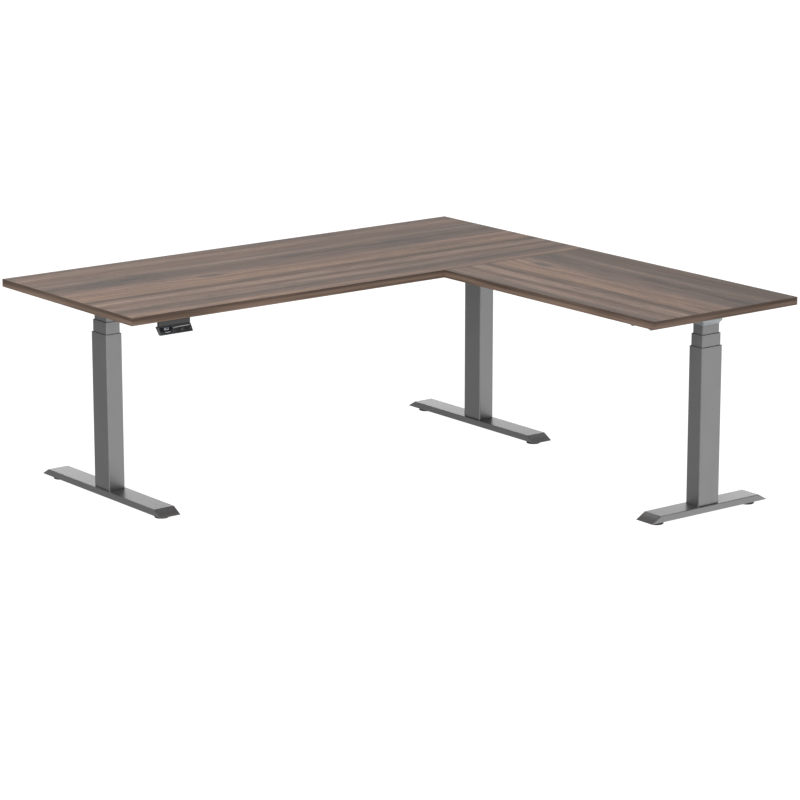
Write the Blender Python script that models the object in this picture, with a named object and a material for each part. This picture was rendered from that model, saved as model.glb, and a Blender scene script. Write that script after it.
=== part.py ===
"""A height adjustable L-shaped standing desk on three electric lifting columns.

Run it with blender --background --python part.py, or from the text editor. Metres, +Z up. The origin is on
the floor under the middle of the desktops' outline, +X runs along the main desktop and +Y to its rear edge.
"""

from math import cos, pi, radians, sin

import bmesh
import bpy
from mathutils import Matrix

# Driving dimensions, in metres.
GAP = 0.0003  # between pieces that touch, so that their solids stay apart
SURFACE_HEIGHT = 0.6625
TOP_THICKNESS = 0.025
MAIN_TOP = (1.8, 0.75)
RETURN_TOP = (0.6, 1.0)
TOP_EDGE_BEVEL = 0.0012

FOOT_WIDTH = 0.076
FOOT_HEIGHT = 0.021
FOOT_CLEARANCE = 0.012
FOOT_END_SLOPE = 0.037
FOOT_WALL = 0.003
FOOT_EDGE = 0.0018  # the bevel along a foot's edges
FOOT_CORE = 0.055  # solid middle of a foot, each side of its column's axis
STUD_BLOCK = 0.02  # solid stretch kept each side of a glide's stud
MAIN_FOOT_LENGTH = 0.69
RETURN_FOOT_LENGTH = 0.488
GLIDE_INSET = 0.052
GLIDE_RADIUS = 0.023
GLIDE_HEIGHT = 0.0095
GLIDE_EDGE = 0.0015
STUD_RADIUS = 0.004
STUD_TOP = 0.027
STUD_PLAY = 0.0005

OUTER_STAGE = (0.085, 0.060)
STAGE_STEP = 0.007  # how much smaller each stage is than the one around it
STAGE_CORNER = 0.005
TUBE_WALL = 0.0018
OUTER_RIM = 0.535
MIDDLE_SPAN = (0.057, 0.574)
INNER_SPAN = (0.102, 0.6035)
GUIDE_LENGTH = 0.05

SCREW_RADIUS = 0.011
SCREW_WALL = 0.003
SPINDLE_RADIUS = 0.006
SCREW_TOP = 0.5
SPINDLE_BOTTOM = 0.1
NUT_HEIGHT = 0.02

BRACKET_LENGTH = 0.56
BRACKET_WIDTH = 0.084
BRACKET_DEPTH = 0.014
BRACKET_HOLES = (-0.25, -0.12, 0.12, 0.25)  # along the bracket, from its middle
BRACKET_HOLE_RADIUS = 0.0035
SHEET = 0.0025
RAIL_SECTION = (0.04, 0.02)
RAIL_CORNER = 0.003
RAIL_OFFSET = 0.075
JOINT_PLATE = (0.22, 0.11, 0.008)  # width, depth and corner radius
JOINT_HOLES = (0.075, 0.04)
SEAM_PLATE = (0.06, 0.12, 0.006)
SEAM_HOLES = (0.018, 0.04)
SEAM_PLATE_OFFSET = 0.2  # from the return's centre line
PLATE_HOLE_RADIUS = 0.003

HOUSING_FLARE = 0.015  # how much wider the gearbox casing is than the inner stage, in all
HOUSING_CORNER = 0.006
HOUSING_NECK = 0.02  # half the neck's width, and where it leaves the casing
MOTOR_RADIUS = 0.0175
MOTOR_CAN_RADIUS = 0.016
MOTOR_BOSS_RADIUS = 0.009
MOTOR_LENGTH = 0.1
MOTOR_START = 0.0668
MOTOR_HEIGHT = 0.6125

CONTROL_BOX = (0.25, 0.085, 0.030)
CONTROL_BOX_AT = (-0.125, 0.72)
CONTROL_BOX_CORNER = 0.006
BOX_LID = 0.004  # thickness
LID_INSETS = (0.003, 0.008)  # how much smaller than the case the lid is at its seat, and at its eased edge
BOX_EAR = (0.016, 0.030, 0.003)  # how far a fixing ear stands out, its width and its thickness
BOX_EAR_HOLE = 0.0025
SOCKETS_X = (-0.09, -0.045, 0.0, 0.045)  # three motors and the handset
SOCKET = (0.018, 0.012, 0.012)  # width, height and depth
SOCKET_LIFT = 0.008  # from the case's lower edge to a socket
INLET = (0.032, 0.022, 0.008)  # width, height and how far it stands out
INLET_MOUTH = (0.024, 0.015)
INLET_FLOOR = 0.002
INLET_CORNER = 0.003
INLET_AT = (0.022, 0.0125)  # from the case's centre line, and from its lower edge

CONTROLLER_SPAN = (-0.807, -0.685)
CONTROLLER_TILT = radians(58)
CONTROLLER_FACE = 0.0285  # from the bottom to the top of the sloping front
CONTROLLER_LIP = (0.113, 0.597)  # y and z of the front's lowest edge
CONTROLLER_DEPTH = (0.010, 0.016)  # along its bottom and along its top
CONTROLLER_EDGE = 0.003
MOUNT = (0.115, 0.014, 0.004)  # the block that holds the controller up: width, depth and corner radius
MOUNT_EDGE = 0.001
MOUNT_SHIFT = (0.004, 0.0015)  # from the controller's middle along X, and back from its sloping front
KEY_CORNER = 0.002
KEY_EDGE = 0.0005
BUTTON_TRAVEL = 0.0012
# What sits in the controller's face, in the face's own frame: low and high X and Y, then how deep it is let
# in and how far it stands out.
DISPLAY = (0.006, 0.050, 0.0125, 0.0255, 0.0008, 0.0002)
KEYS = {
    "memory_key": (0.012, 0.044, 0.0045, 0.0105, 0.0030, 0.0010),
    "up_key": (0.058, 0.0855, 0.0045, 0.0188, 0.0030, 0.0012),
    "down_key": (0.0885, 0.116, 0.0045, 0.0188, 0.0030, 0.0012),
}

UNDERSIDE = SURFACE_HEIGHT - TOP_THICKNESS
FOOT_TOP = FOOT_CLEARANCE + FOOT_HEIGHT
MAIN_FRONT = RETURN_TOP[1] - (MAIN_TOP[1] + RETURN_TOP[1]) / 2
MAIN_CENTRE = MAIN_FRONT + MAIN_TOP[1] / 2
RETURN_CENTRE_X = (MAIN_TOP[0] - RETURN_TOP[0]) / 2
LEG_INSET = 0.148  # from each end of the main desktop to its column's axis
RETURN_LEG_INSET = 0.089  # from the return's free edge to its column's axis
RETURN_FRONT = MAIN_FRONT - RETURN_TOP[1]

# Each leg: where it stands, the turn that takes local +X to the foot's direction, the foot's length, and
# the names of its two ends.
LEGS = {
    "left": ((LEG_INSET - MAIN_TOP[0] / 2, MAIN_CENTRE), radians(-90), MAIN_FOOT_LENGTH, ("rear", "front")),
    "middle": ((MAIN_TOP[0] / 2 - LEG_INSET, MAIN_CENTRE), radians(90), MAIN_FOOT_LENGTH, ("front", "rear")),
    "right": ((RETURN_CENTRE_X, RETURN_FRONT + RETURN_LEG_INSET), 0.0, RETURN_FOOT_LENGTH, ("left", "right")),
}


def clear_scene():
    for obj in list(bpy.data.objects):
        bpy.data.objects.remove(obj, do_unlink=True)


def finish(name, colour, roughness, metallic=0.0):
    material = bpy.data.materials.new(name)
    material.use_nodes = True
    shader = material.node_tree.nodes["Principled BSDF"]
    shader.inputs["Base Color"].default_value = (*colour, 1.0)
    shader.inputs["Roughness"].default_value = roughness
    shader.inputs["Metallic"].default_value = metallic
    material.diffuse_color = (*colour, 1.0)
    return material


# Outlines and solids.


def rounded_rectangle(width, depth, radius, corner_steps=4):
    points = []
    for corner, (side_x, side_y) in enumerate(((1, 1), (-1, 1), (-1, -1), (1, -1))):
        centre_x = side_x * (width / 2 - radius)
        centre_y = side_y * (depth / 2 - radius)
        for step in range(corner_steps + 1):
            angle = pi / 2 * (corner + step / corner_steps)
            points.append((centre_x + radius * cos(angle), centre_y + radius * sin(angle)))
    return points


def circle(radius, steps=24):
    angles = [2 * pi * step / steps for step in range(steps)]
    return [(radius * cos(angle), radius * sin(angle)) for angle in angles]


def on_axis(point, along, axis):
    """A point of an outline, set at a distance along X, Y or Z."""
    first, second = point
    return {"X": (along, first, second), "Y": (first, along, second), "Z": (first, second, along)}[axis]


def loft(loops, ring=False):
    """A closed mesh through loops of as many points each: capped at both ends, or joined round as a ring."""
    shape = bmesh.new()
    rows = [[shape.verts.new(point) for point in loop] for loop in loops]
    pairs = list(zip(rows, rows[1:]))
    if ring:
        pairs.append((rows[-1], rows[0]))
    else:
        shape.faces.new(rows[0])
        shape.faces.new(rows[-1])
    for lower, upper in pairs:
        for index in range(len(lower)):
            after = (index + 1) % len(lower)
            shape.faces.new((lower[index], lower[after], upper[after], upper[index]))
    bmesh.ops.recalc_face_normals(shape, faces=shape.faces)
    mesh = bpy.data.meshes.new("shape")
    shape.to_mesh(mesh)
    shape.free()
    return mesh


def extruded(outline, low, high, axis="Z"):
    return loft([[on_axis(point, along, axis) for point in outline] for along in (low, high)])


def tube(width, depth, corner, wall, low, high, axis="Z"):
    """A straight tube with rounded corners, open at both ends."""
    outside = rounded_rectangle(width, depth, corner)
    inside = rounded_rectangle(width - 2 * wall, depth - 2 * wall, corner - wall)
    turns = ((outside, low), (outside, high), (inside, high), (inside, low))
    return loft([[on_axis(point, along, axis) for point in outline] for outline, along in turns], ring=True)


def turned(profile, axis="Z", steps=24):
    """A round solid through (radius, distance along the axis) pairs."""
    loops = [[on_axis(point, along, axis) for point in circle(radius, steps)] for radius, along in profile]
    return loft(loops)


def sleeve(outer_radius, inner_radius, low, high):
    """A round tube along Z, open at both ends."""
    turns = ((outer_radius, low), (outer_radius, high), (inner_radius, high), (inner_radius, low))
    loops = [[on_axis(point, along, "Z") for point in circle(radius)] for radius, along in turns]
    return loft(loops, ring=True)


def block(low, high):
    outline = [(low[0], low[1]), (high[0], low[1]), (high[0], high[1]), (low[0], high[1])]
    return extruded(outline, low[2], high[2])


def moved(mesh, offset):
    mesh.transform(Matrix.Translation(offset))
    return mesh


def worked(mesh, bevel=0.0, bevel_steps=2, joined=(), cut=()):
    """A new mesh with its edges bevelled, then other solids joined to it and others cut from it."""
    blank = bpy.data.objects.new("blank", mesh)
    bpy.context.scene.collection.objects.link(blank)
    helpers = [blank]
    if bevel:
        edge = blank.modifiers.new("edges", "BEVEL")
        edge.width = bevel
        edge.segments = bevel_steps
        edge.limit_method = "ANGLE"
        edge.angle_limit = radians(30)
    for operation, others in (("UNION", joined), ("DIFFERENCE", cut)):
        for other in others:
            helper = bpy.data.objects.new("helper", other)
            bpy.context.scene.collection.objects.link(helper)
            helper.hide_render = True
            helper.display_type = "WIRE"
            helpers.append(helper)
            boolean = blank.modifiers.new(operation.lower(), "BOOLEAN")
            boolean.operation = operation
            boolean.object = helper
    bpy.context.view_layer.update()
    evaluated = blank.evaluated_get(bpy.context.evaluated_depsgraph_get())
    result = bpy.data.meshes.new_from_object(evaluated)
    for helper in helpers:
        bpy.data.objects.remove(helper, do_unlink=True)
    return result


def add(name, mesh, material, parent=None, location=(0, 0, 0)):
    """A named piece of the desk."""
    mesh.materials.clear()
    mesh.materials.append(material)
    mesh.shade_smooth()
    mesh.set_sharp_from_angle(angle=radians(35))
    mesh.name = name
    piece = bpy.data.objects.new(name, mesh)
    piece.location = location
    piece.parent = parent
    bpy.context.scene.collection.objects.link(piece)
    return piece


def frame_empty(name, location, rotation=(0, 0, 0)):
    empty = bpy.data.objects.new(name, None)
    empty.location = location
    empty.rotation_euler = rotation
    bpy.context.scene.collection.objects.link(empty)
    return empty


# The pieces of a leg, about its column's axis: local X along the foot, local Y towards the cross rails.


def foot_mesh(length):
    """A foot: a low bar with sloping ends, hollow below except at its middle and round its two studs."""
    half = length / 2
    side = [
        (-half, FOOT_CLEARANCE),
        (half, FOOT_CLEARANCE),
        (half - FOOT_END_SLOPE, FOOT_TOP),
        (FOOT_END_SLOPE - half, FOOT_TOP),
    ]
    bar = extruded(side, -FOOT_WIDTH / 2, FOOT_WIDTH / 2, axis="Y")
    stud_at = half - GLIDE_INSET
    cavity_end = stud_at - STUD_BLOCK
    inside = FOOT_WIDTH / 2 - FOOT_WALL
    cuts = []
    for side_sign in (-1, 1):
        near, far = sorted((side_sign * FOOT_CORE, side_sign * cavity_end))
        cuts.append(block((near, -inside, 0), (far, inside, FOOT_TOP - FOOT_WALL)))
        stud_hole = extruded(circle(STUD_RADIUS + STUD_PLAY, 16), 0, (STUD_TOP + FOOT_TOP) / 2)
        cuts.append(moved(stud_hole, (side_sign * stud_at, 0, 0)))
    return worked(bar, bevel=FOOT_EDGE, cut=cuts)


def glide_mesh():
    """A levelling glide: a round pad with a bevelled rim, and the stud on which it turns."""
    profile = [
        (GLIDE_RADIUS - GLIDE_EDGE, 0),
        (GLIDE_RADIUS, GLIDE_EDGE),
        (GLIDE_RADIUS, GLIDE_HEIGHT - 2 * GLIDE_EDGE),
        (GLIDE_RADIUS - 2 * GLIDE_EDGE, GLIDE_HEIGHT),
        (STUD_RADIUS, GLIDE_HEIGHT),
        (STUD_RADIUS, STUD_TOP),
    ]
    return turned(profile)


def stage_size(stage):
    return [side - STAGE_STEP * stage for side in OUTER_STAGE]


def guide_mesh(stage, rim):
    """The plastic liner between the mouth of one stage and the next stage in."""
    width, depth = stage_size(stage)
    room = TUBE_WALL + GAP
    thickness = STAGE_STEP / 2 - TUBE_WALL - 2 * GAP
    corner = STAGE_CORNER - room
    return tube(width - 2 * room, depth - 2 * room, corner, thickness, rim - GUIDE_LENGTH, rim - 0.001)


def gear_housing_mesh():
    """The gearbox casing over the inner stage: it flares out from the tube, and a neck holds the motor."""
    width, depth = stage_size(2)
    foot = INNER_SPAN[1] + GAP
    roof = UNDERSIDE - SHEET - 2 * GAP
    levels = ((foot, 0.13), (foot + 0.004, 0.33), (foot + 0.0105, 1.0), (roof, 1.0))
    loops = []
    for level, share in levels:
        growth = HOUSING_FLARE * share
        outline = rounded_rectangle(width + growth, depth + growth, HOUSING_CORNER)
        loops.append([on_axis(point, level, "Z") for point in outline])
    neck_low = (-HOUSING_NECK, HOUSING_NECK, foot + 3 * GAP)
    neck_high = (HOUSING_NECK, MOTOR_START - GAP, UNDERSIDE - BRACKET_DEPTH - 4 * GAP)
    return worked(loft(loops), joined=[block(neck_low, neck_high)])


def motor_mesh():
    """The motor, lying along local Y: a flange, the can, and an end cap with its bearing boss."""
    step = MOTOR_RADIUS - MOTOR_CAN_RADIUS
    flange = 0.006
    cap_start = MOTOR_LENGTH - 0.018
    cap_end = MOTOR_LENGTH - flange
    profile = [
        (MOTOR_RADIUS, 0),
        (MOTOR_RADIUS, flange),
        (MOTOR_CAN_RADIUS, flange + step),
        (MOTOR_CAN_RADIUS, cap_start),
        (MOTOR_RADIUS, cap_start + step),
        (MOTOR_RADIUS, cap_end),
        (MOTOR_BOSS_RADIUS, cap_end + 2 * step),
        (MOTOR_BOSS_RADIUS, MOTOR_LENGTH),
    ]
    return turned(profile, axis="Y")


def bracket_mesh():
    """The channel across the top of a leg, with a row of screw holes each side."""
    half = BRACKET_WIDTH / 2
    top = UNDERSIDE - GAP
    web = top - SHEET
    low = UNDERSIDE - BRACKET_DEPTH
    inside = half - SHEET
    outline = [(-half, low), (-half, top), (half, top), (half, low)]
    outline += [(inside, low), (inside, web), (-inside, web), (-inside, low)]
    channel = extruded(outline, -BRACKET_LENGTH / 2, BRACKET_LENGTH / 2, axis="X")
    holes = []
    for along in BRACKET_HOLES:
        hole = extruded(circle(BRACKET_HOLE_RADIUS, 12), web - SHEET, top + SHEET)
        holes.append(moved(hole, (along, 0, 0)))
    return worked(channel, cut=holes)


def lift_nut_mesh():
    """The nut block that closes the foot of the middle stage, with a plain bore for the fixed screw."""
    width, depth = [side - 2 * (TUBE_WALL + GAP) for side in stage_size(1)]
    low = MIDDLE_SPAN[0]
    nut = extruded(rounded_rectangle(width, depth, STAGE_CORNER - TUBE_WALL), low, low + NUT_HEIGHT)
    return worked(nut, cut=[extruded(circle(SCREW_RADIUS + GAP), 0, MIDDLE_SPAN[1])])


def add_legs(finishes):
    meshes = {
        "outer_tube": tube(*OUTER_STAGE, STAGE_CORNER, TUBE_WALL, FOOT_TOP + GAP, OUTER_RIM),
        "middle_tube": tube(*stage_size(1), STAGE_CORNER, TUBE_WALL, *MIDDLE_SPAN),
        "inner_tube": tube(*stage_size(2), STAGE_CORNER, TUBE_WALL, *INNER_SPAN),
        "outer_guide": guide_mesh(0, OUTER_RIM),
        "middle_guide": guide_mesh(1, MIDDLE_SPAN[1]),
        "fixed_screw": sleeve(SCREW_RADIUS, SCREW_RADIUS - SCREW_WALL, FOOT_TOP + GAP, SCREW_TOP),
        "lift_nut": lift_nut_mesh(),
        "gear_housing": gear_housing_mesh(),
        "side_bracket": bracket_mesh(),
    }
    kinds = {
        "outer_tube": "frame_paint",
        "middle_tube": "frame_paint",
        "inner_tube": "frame_paint",
        "outer_guide": "black_plastic",
        "middle_guide": "black_plastic",
        "fixed_screw": "steel",
        "gear_housing": "housing_paint",
        "side_bracket": "frame_paint",
        "lift_nut": "nut_plastic",
    }
    glide = glide_mesh()
    motor = motor_mesh()
    spindle = turned([(SPINDLE_RADIUS, SPINDLE_BOTTOM), (SPINDLE_RADIUS, INNER_SPAN[1] - GAP)], steps=16)
    for leg, (place, turn, foot_length, ends) in LEGS.items():
        stand = frame_empty(f"{leg}_leg", (*place, 0), (0, 0, turn))
        add(f"{leg}_foot", foot_mesh(foot_length), finishes["frame_paint"], stand)
        stud_at = foot_length / 2 - GLIDE_INSET
        for end, sign in zip(ends, (-1, 1)):
            add(f"{leg}_glide_{end}", glide, finishes["black_plastic"], stand, (sign * stud_at, 0, 0))
        for piece, mesh in meshes.items():
            add(f"{leg}_{piece}", mesh, finishes[kinds[piece]], stand)
        add(f"{leg}_drive_spindle", spindle, finishes["steel"], stand)
        add(f"{leg}_motor", motor, finishes["motor_can"], stand, (0, MOTOR_START, MOTOR_HEIGHT))


# The frame under the desktops.


def holed_plate(width, depth, corner, hole_x, hole_y):
    """A flat plate of sheet steel with a screw hole near each corner."""
    plate = extruded(rounded_rectangle(width, depth, corner), -SHEET / 2, SHEET / 2)
    holes = []
    for sign_x in (-1, 1):
        for sign_y in (-1, 1):
            hole = extruded(circle(PLATE_HOLE_RADIUS, 12), -SHEET, SHEET)
            holes.append(moved(hole, (sign_x * hole_x, sign_y * hole_y, 0)))
    return worked(plate, cut=holes)


def add_rails(paint):
    rail_z = UNDERSIDE - GAP - RAIL_SECTION[1] / 2
    leg_x = LEGS["middle"][0][0]
    main_half = leg_x - BRACKET_WIDTH / 2 - GAP
    main_rail = tube(*RAIL_SECTION, RAIL_CORNER, TUBE_WALL, -main_half, main_half, axis="X")
    for name, side in (("front", -1), ("rear", 1)):
        add(f"main_rail_{name}", main_rail, paint, None, (0, MAIN_CENTRE + side * RAIL_OFFSET, rail_z))
    low = LEGS["right"][0][1] + BRACKET_WIDTH / 2 + GAP
    high = MAIN_CENTRE - RAIL_OFFSET - RAIL_SECTION[0] / 2 - GAP
    return_rail = tube(*RAIL_SECTION, RAIL_CORNER, TUBE_WALL, low, high, axis="Y")
    for name, side in (("left", -1), ("right", 1)):
        place = (RETURN_CENTRE_X + side * RAIL_OFFSET, 0, rail_z)
        add(f"return_rail_{name}", return_rail, paint, None, place)
    plate_z = rail_z - RAIL_SECTION[1] / 2 - GAP - SHEET / 2
    joint_plate = holed_plate(*JOINT_PLATE, *JOINT_HOLES)
    place = (RETURN_CENTRE_X, high - RAIL_SECTION[0] / 4, plate_z)
    add("return_joint_plate", joint_plate, paint, None, place)
    seam_z = UNDERSIDE - GAP - SHEET / 2
    seam_plate = holed_plate(*SEAM_PLATE, *SEAM_HOLES)
    for name, side in (("left", -1), ("right", 1)):
        place = (RETURN_CENTRE_X + side * SEAM_PLATE_OFFSET, MAIN_FRONT, seam_z)
        add(f"seam_plate_{name}", seam_plate, paint, None, place)


def add_desktops(wood):
    half_z = TOP_THICKNESS / 2
    middle = SURFACE_HEIGHT - half_z
    half_x, half_y = MAIN_TOP[0] / 2, MAIN_TOP[1] / 2
    main_board = block((-half_x, GAP / 2 - half_y, -half_z), (half_x, half_y, half_z))
    add("main_desktop", worked(main_board, bevel=TOP_EDGE_BEVEL), wood, None, (0, MAIN_CENTRE, middle))
    half_x, half_y = RETURN_TOP[0] / 2, RETURN_TOP[1] / 2
    return_board = block((-half_x, -half_y, -half_z), (half_x, half_y - GAP / 2, half_z))
    place = (RETURN_CENTRE_X, MAIN_FRONT - half_y, middle)
    add("return_desktop", worked(return_board, bevel=TOP_EDGE_BEVEL), wood, None, place)


def add_control_box(finishes):
    """The control box by the rear rail, with its lid, mains inlet and sockets for the motors and handset."""
    width, depth, height = CONTROL_BOX
    top = UNDERSIDE - GAP
    low = top - height
    place = (*CONTROL_BOX_AT, 0)
    box = extruded(rounded_rectangle(width, depth, CONTROL_BOX_CORNER), low, top)
    ear_reach, ear_width, ear_thickness = BOX_EAR
    ear_end = width / 2 + ear_reach
    ears = block((-ear_end, -ear_width / 2, top - ear_thickness), (ear_end, ear_width / 2, top))
    cuts = []
    socket_width, socket_height, socket_depth = SOCKET
    for along in SOCKETS_X:
        near = (along - socket_width / 2, -depth, low + SOCKET_LIFT)
        far = (along + socket_width / 2, socket_depth - depth / 2, low + SOCKET_LIFT + socket_height)
        cuts.append(block(near, far))
    for side in (-1, 1):
        hole = extruded(circle(BOX_EAR_HOLE, 12), top - 2 * ear_thickness, top + ear_thickness)
        cuts.append(moved(hole, (side * (width / 2 + ear_reach / 2), 0, 0)))
    add("control_box_case", worked(box, joined=[ears], cut=cuts), finishes["black_plastic"], None, place)

    seat, eased = LID_INSETS
    levels = ((low - BOX_LID, eased), (low - BOX_LID / 2, seat), (low - GAP, seat))
    loops = []
    for level, inset in levels:
        outline = rounded_rectangle(width - inset, depth - inset, CONTROL_BOX_CORNER)
        loops.append([on_axis(point, level, "Z") for point in outline])
    add("control_box_lid", loft(loops), finishes["black_plastic"], None, place)

    inlet_width, inlet_height, inlet_reach = INLET
    start = width / 2 + GAP
    rim = rounded_rectangle(inlet_width, inlet_height, INLET_CORNER, 2)
    body = extruded(rim, start, start + inlet_reach, axis="X")
    mouth_outline = rounded_rectangle(*INLET_MOUTH, INLET_CORNER, 2)
    mouth = extruded(mouth_outline, start + INLET_FLOOR, start + 2 * inlet_reach, axis="X")
    inlet_place = (CONTROL_BOX_AT[0], CONTROL_BOX_AT[1] + INLET_AT[0], low + INLET_AT[1])
    add("power_inlet", worked(body, cut=[mouth]), finishes["black_plastic"], None, inlet_place)


def face_block(low_x, high_x, low_y, high_y, low_z, high_z):
    """A block with rounded corners in the controller face's own frame, whose Z points out of the face."""
    outline = rounded_rectangle(high_x - low_x, high_y - low_y, KEY_CORNER)
    shape = extruded(outline, low_z, high_z)
    return moved(shape, ((low_x + high_x) / 2, (low_y + high_y) / 2, 0))


def face_pocket(spot, room_below):
    """The pocket in the face that takes the piece at this spot, with a gap all round and room below it."""
    low_x, high_x, low_y, high_y, depth, _ = spot
    above = 0.01
    floor = -depth - room_below - GAP
    return face_block(low_x - GAP, high_x + GAP, low_y - GAP, high_y + GAP, floor, above)


def add_controller(finishes):
    """The hand controller under the front edge: a mounting block and a case whose sloping face holds keys."""
    left, right = CONTROLLER_SPAN
    lip_y, lip_z = CONTROLLER_LIP
    top_y = lip_y + CONTROLLER_FACE * cos(CONTROLLER_TILT)
    top_z = lip_z + CONTROLLER_FACE * sin(CONTROLLER_TILT)
    face = frame_empty("controller_face", (left, lip_y, lip_z), (CONTROLLER_TILT, 0, 0))
    bpy.context.view_layer.update()

    mount = extruded(rounded_rectangle(*MOUNT), top_z + GAP, UNDERSIDE - GAP)
    mount = worked(mount, bevel=MOUNT_EDGE, bevel_steps=1)
    mount_place = ((left + right) / 2 + MOUNT_SHIFT[0], top_y + MOUNT[1] / 2 + MOUNT_SHIFT[1], 0)
    add("controller_mount", mount, finishes["black_plastic"], None, mount_place)

    bottom_depth, top_depth = CONTROLLER_DEPTH
    side = [(lip_y, lip_z), (top_y, top_z), (top_y + top_depth, top_z), (lip_y + bottom_depth, lip_z)]
    case = worked(extruded(side, left, right, axis="X"), bevel=CONTROLLER_EDGE, bevel_steps=3)
    pockets = [face_pocket(DISPLAY, 0.0)]
    pockets += [face_pocket(spot, BUTTON_TRAVEL) for spot in KEYS.values()]
    for pocket in pockets:
        pocket.transform(face.matrix_world)
    add("controller_case", worked(case, cut=pockets), finishes["black_plastic"])

    *display_area, depth, reach = DISPLAY
    add("display_window", face_block(*display_area, -depth, reach), finishes["window"], face)
    for name, (*key_area, depth, reach) in KEYS.items():
        key = worked(face_block(*key_area, -depth, reach), bevel=KEY_EDGE, bevel_steps=1)
        add(name, key, finishes["key_plastic"], face)


def main():
    clear_scene()
    finishes = {
        "frame_paint": finish("frame_paint", (0.20, 0.20, 0.205), 0.42, 0.5),
        "housing_paint": finish("housing_paint", (0.38, 0.39, 0.40), 0.45, 0.4),
        "black_plastic": finish("black_plastic", (0.022, 0.022, 0.024), 0.5),
        "key_plastic": finish("key_plastic", (0.012, 0.012, 0.014), 0.25),
        "window": finish("window", (0.008, 0.008, 0.010), 0.08),
        "nut_plastic": finish("nut_plastic", (0.7, 0.68, 0.6), 0.5),
        "steel": finish("steel", (0.5, 0.5, 0.5), 0.3, 1.0),
        "motor_can": finish("motor_can", (0.05, 0.05, 0.055), 0.4, 0.7),
    }
    wood = finish("walnut_laminate", (0.22, 0.165, 0.125), 0.5)
    add_legs(finishes)
    add_rails(finishes["frame_paint"])
    add_desktops(wood)
    add_control_box(finishes)
    add_controller(finishes)


main()
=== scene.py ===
"""Finished look of the L-shaped standing desk: laminate boards, painted steel legs and black controls.

Laid out as an add-on and run as a script. Metres, +Z up: +X along the main desktop, +Y to its rear edge.
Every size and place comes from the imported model.
"""

from math import cos, hypot, pi, radians, sin

import bmesh
import bpy
from mathutils import Euler, Matrix, Vector


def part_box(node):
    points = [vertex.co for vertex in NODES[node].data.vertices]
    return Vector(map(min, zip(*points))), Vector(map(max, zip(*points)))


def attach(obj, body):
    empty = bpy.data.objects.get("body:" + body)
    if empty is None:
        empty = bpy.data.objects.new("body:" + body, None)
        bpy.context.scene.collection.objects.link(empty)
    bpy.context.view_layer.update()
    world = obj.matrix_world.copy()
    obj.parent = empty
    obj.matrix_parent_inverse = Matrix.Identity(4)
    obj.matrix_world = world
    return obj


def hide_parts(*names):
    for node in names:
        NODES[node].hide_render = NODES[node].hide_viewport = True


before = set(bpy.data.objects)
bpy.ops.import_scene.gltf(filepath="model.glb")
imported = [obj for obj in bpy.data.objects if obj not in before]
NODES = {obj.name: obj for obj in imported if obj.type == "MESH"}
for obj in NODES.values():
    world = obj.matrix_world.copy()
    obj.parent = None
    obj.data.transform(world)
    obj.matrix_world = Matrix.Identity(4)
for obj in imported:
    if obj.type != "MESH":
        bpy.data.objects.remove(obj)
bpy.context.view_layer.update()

bl_info = {
    "name": "Standing Desk Finish",
    "version": (1, 0, 0),
    "blender": (4, 5, 0),
    "location": "3D View > Sidebar > Desk",
    "description": "Builds the finished pieces and materials of a height adjustable desk",
    "category": "Object",
}

# Which end of each leg's foot is which, and the leg's own axes: along its foot, and towards the cross rails.
LEGS = {
    "left": {"along": Vector((0, -1, 0)), "inward": Vector((1, 0, 0)), "ends": ("rear", "front")},
    "middle": {"along": Vector((0, 1, 0)), "inward": Vector((-1, 0, 0)), "ends": ("front", "rear")},
    "right": {"along": Vector((1, 0, 0)), "inward": Vector((0, 1, 0)), "ends": ("left", "right")},
}


def node_centre(name):
    low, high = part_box(name)
    return (low + high) / 2


def node_size(name):
    low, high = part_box(name)
    return high - low


def leg_matrix(leg):
    """From a leg's own frame (X along the foot, Y towards the rails, Z up from the floor) to the desk's."""
    along, inward = LEGS[leg]["along"], LEGS[leg]["inward"]
    centre = node_centre(f"{leg}_outer_tube")
    matrix = Matrix.Identity(4)
    matrix.col[0][:3] = along
    matrix.col[1][:3] = inward
    matrix.col[3][:3] = (centre.x, centre.y, 0)
    return matrix


# Materials.

BELL_BASE = 2.718  # what a bell's curve is a power of


class Value:
    """A number socket of a node tree. Arithmetic on it adds Math nodes."""

    def __init__(self, tree, socket):
        self.tree = tree
        self.socket = socket

    def math(self, operation, *others, first=None):
        items = (self if first is None else first, *others)
        node = tree_node(self.tree, "ShaderNodeMath", {"operation": operation}, dict(enumerate(items)))
        return Value(self.tree, node.outputs[0])

    def __add__(self, other):
        return self.math("ADD", other)

    def __mul__(self, other):
        return self.math("MULTIPLY", other)

    def __sub__(self, other):
        return self.math("SUBTRACT", other)

    def __rsub__(self, other):
        return self.math("SUBTRACT", self, first=other)

    def __truediv__(self, other):
        return self.math("DIVIDE", other)

    def __pow__(self, other):
        return self.math("POWER", other)

    def __abs__(self):
        return self.math("ABSOLUTE")

    __radd__ = __add__
    __rmul__ = __mul__

    def bell(self, centre, width):
        """One at the centre, and falling smoothly to nothing within about two widths."""
        offset = (self - centre) / width
        return self.math("POWER", offset * offset * -1.0, first=BELL_BASE)


def feed(tree, socket, item):
    """Sets a socket's value, or links what is given to it."""
    if isinstance(item, Value):
        tree.links.new(item.socket, socket)
    elif isinstance(item, bpy.types.NodeSocket):
        tree.links.new(item, socket)
    else:
        socket.default_value = item


def set_stops(ramp, stops):
    while len(ramp.elements) < len(stops):
        ramp.elements.new(0.5)
    for element, (place, colour) in zip(ramp.elements, stops):
        element.position = place
        element.color = (*colour, 1.0)


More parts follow.
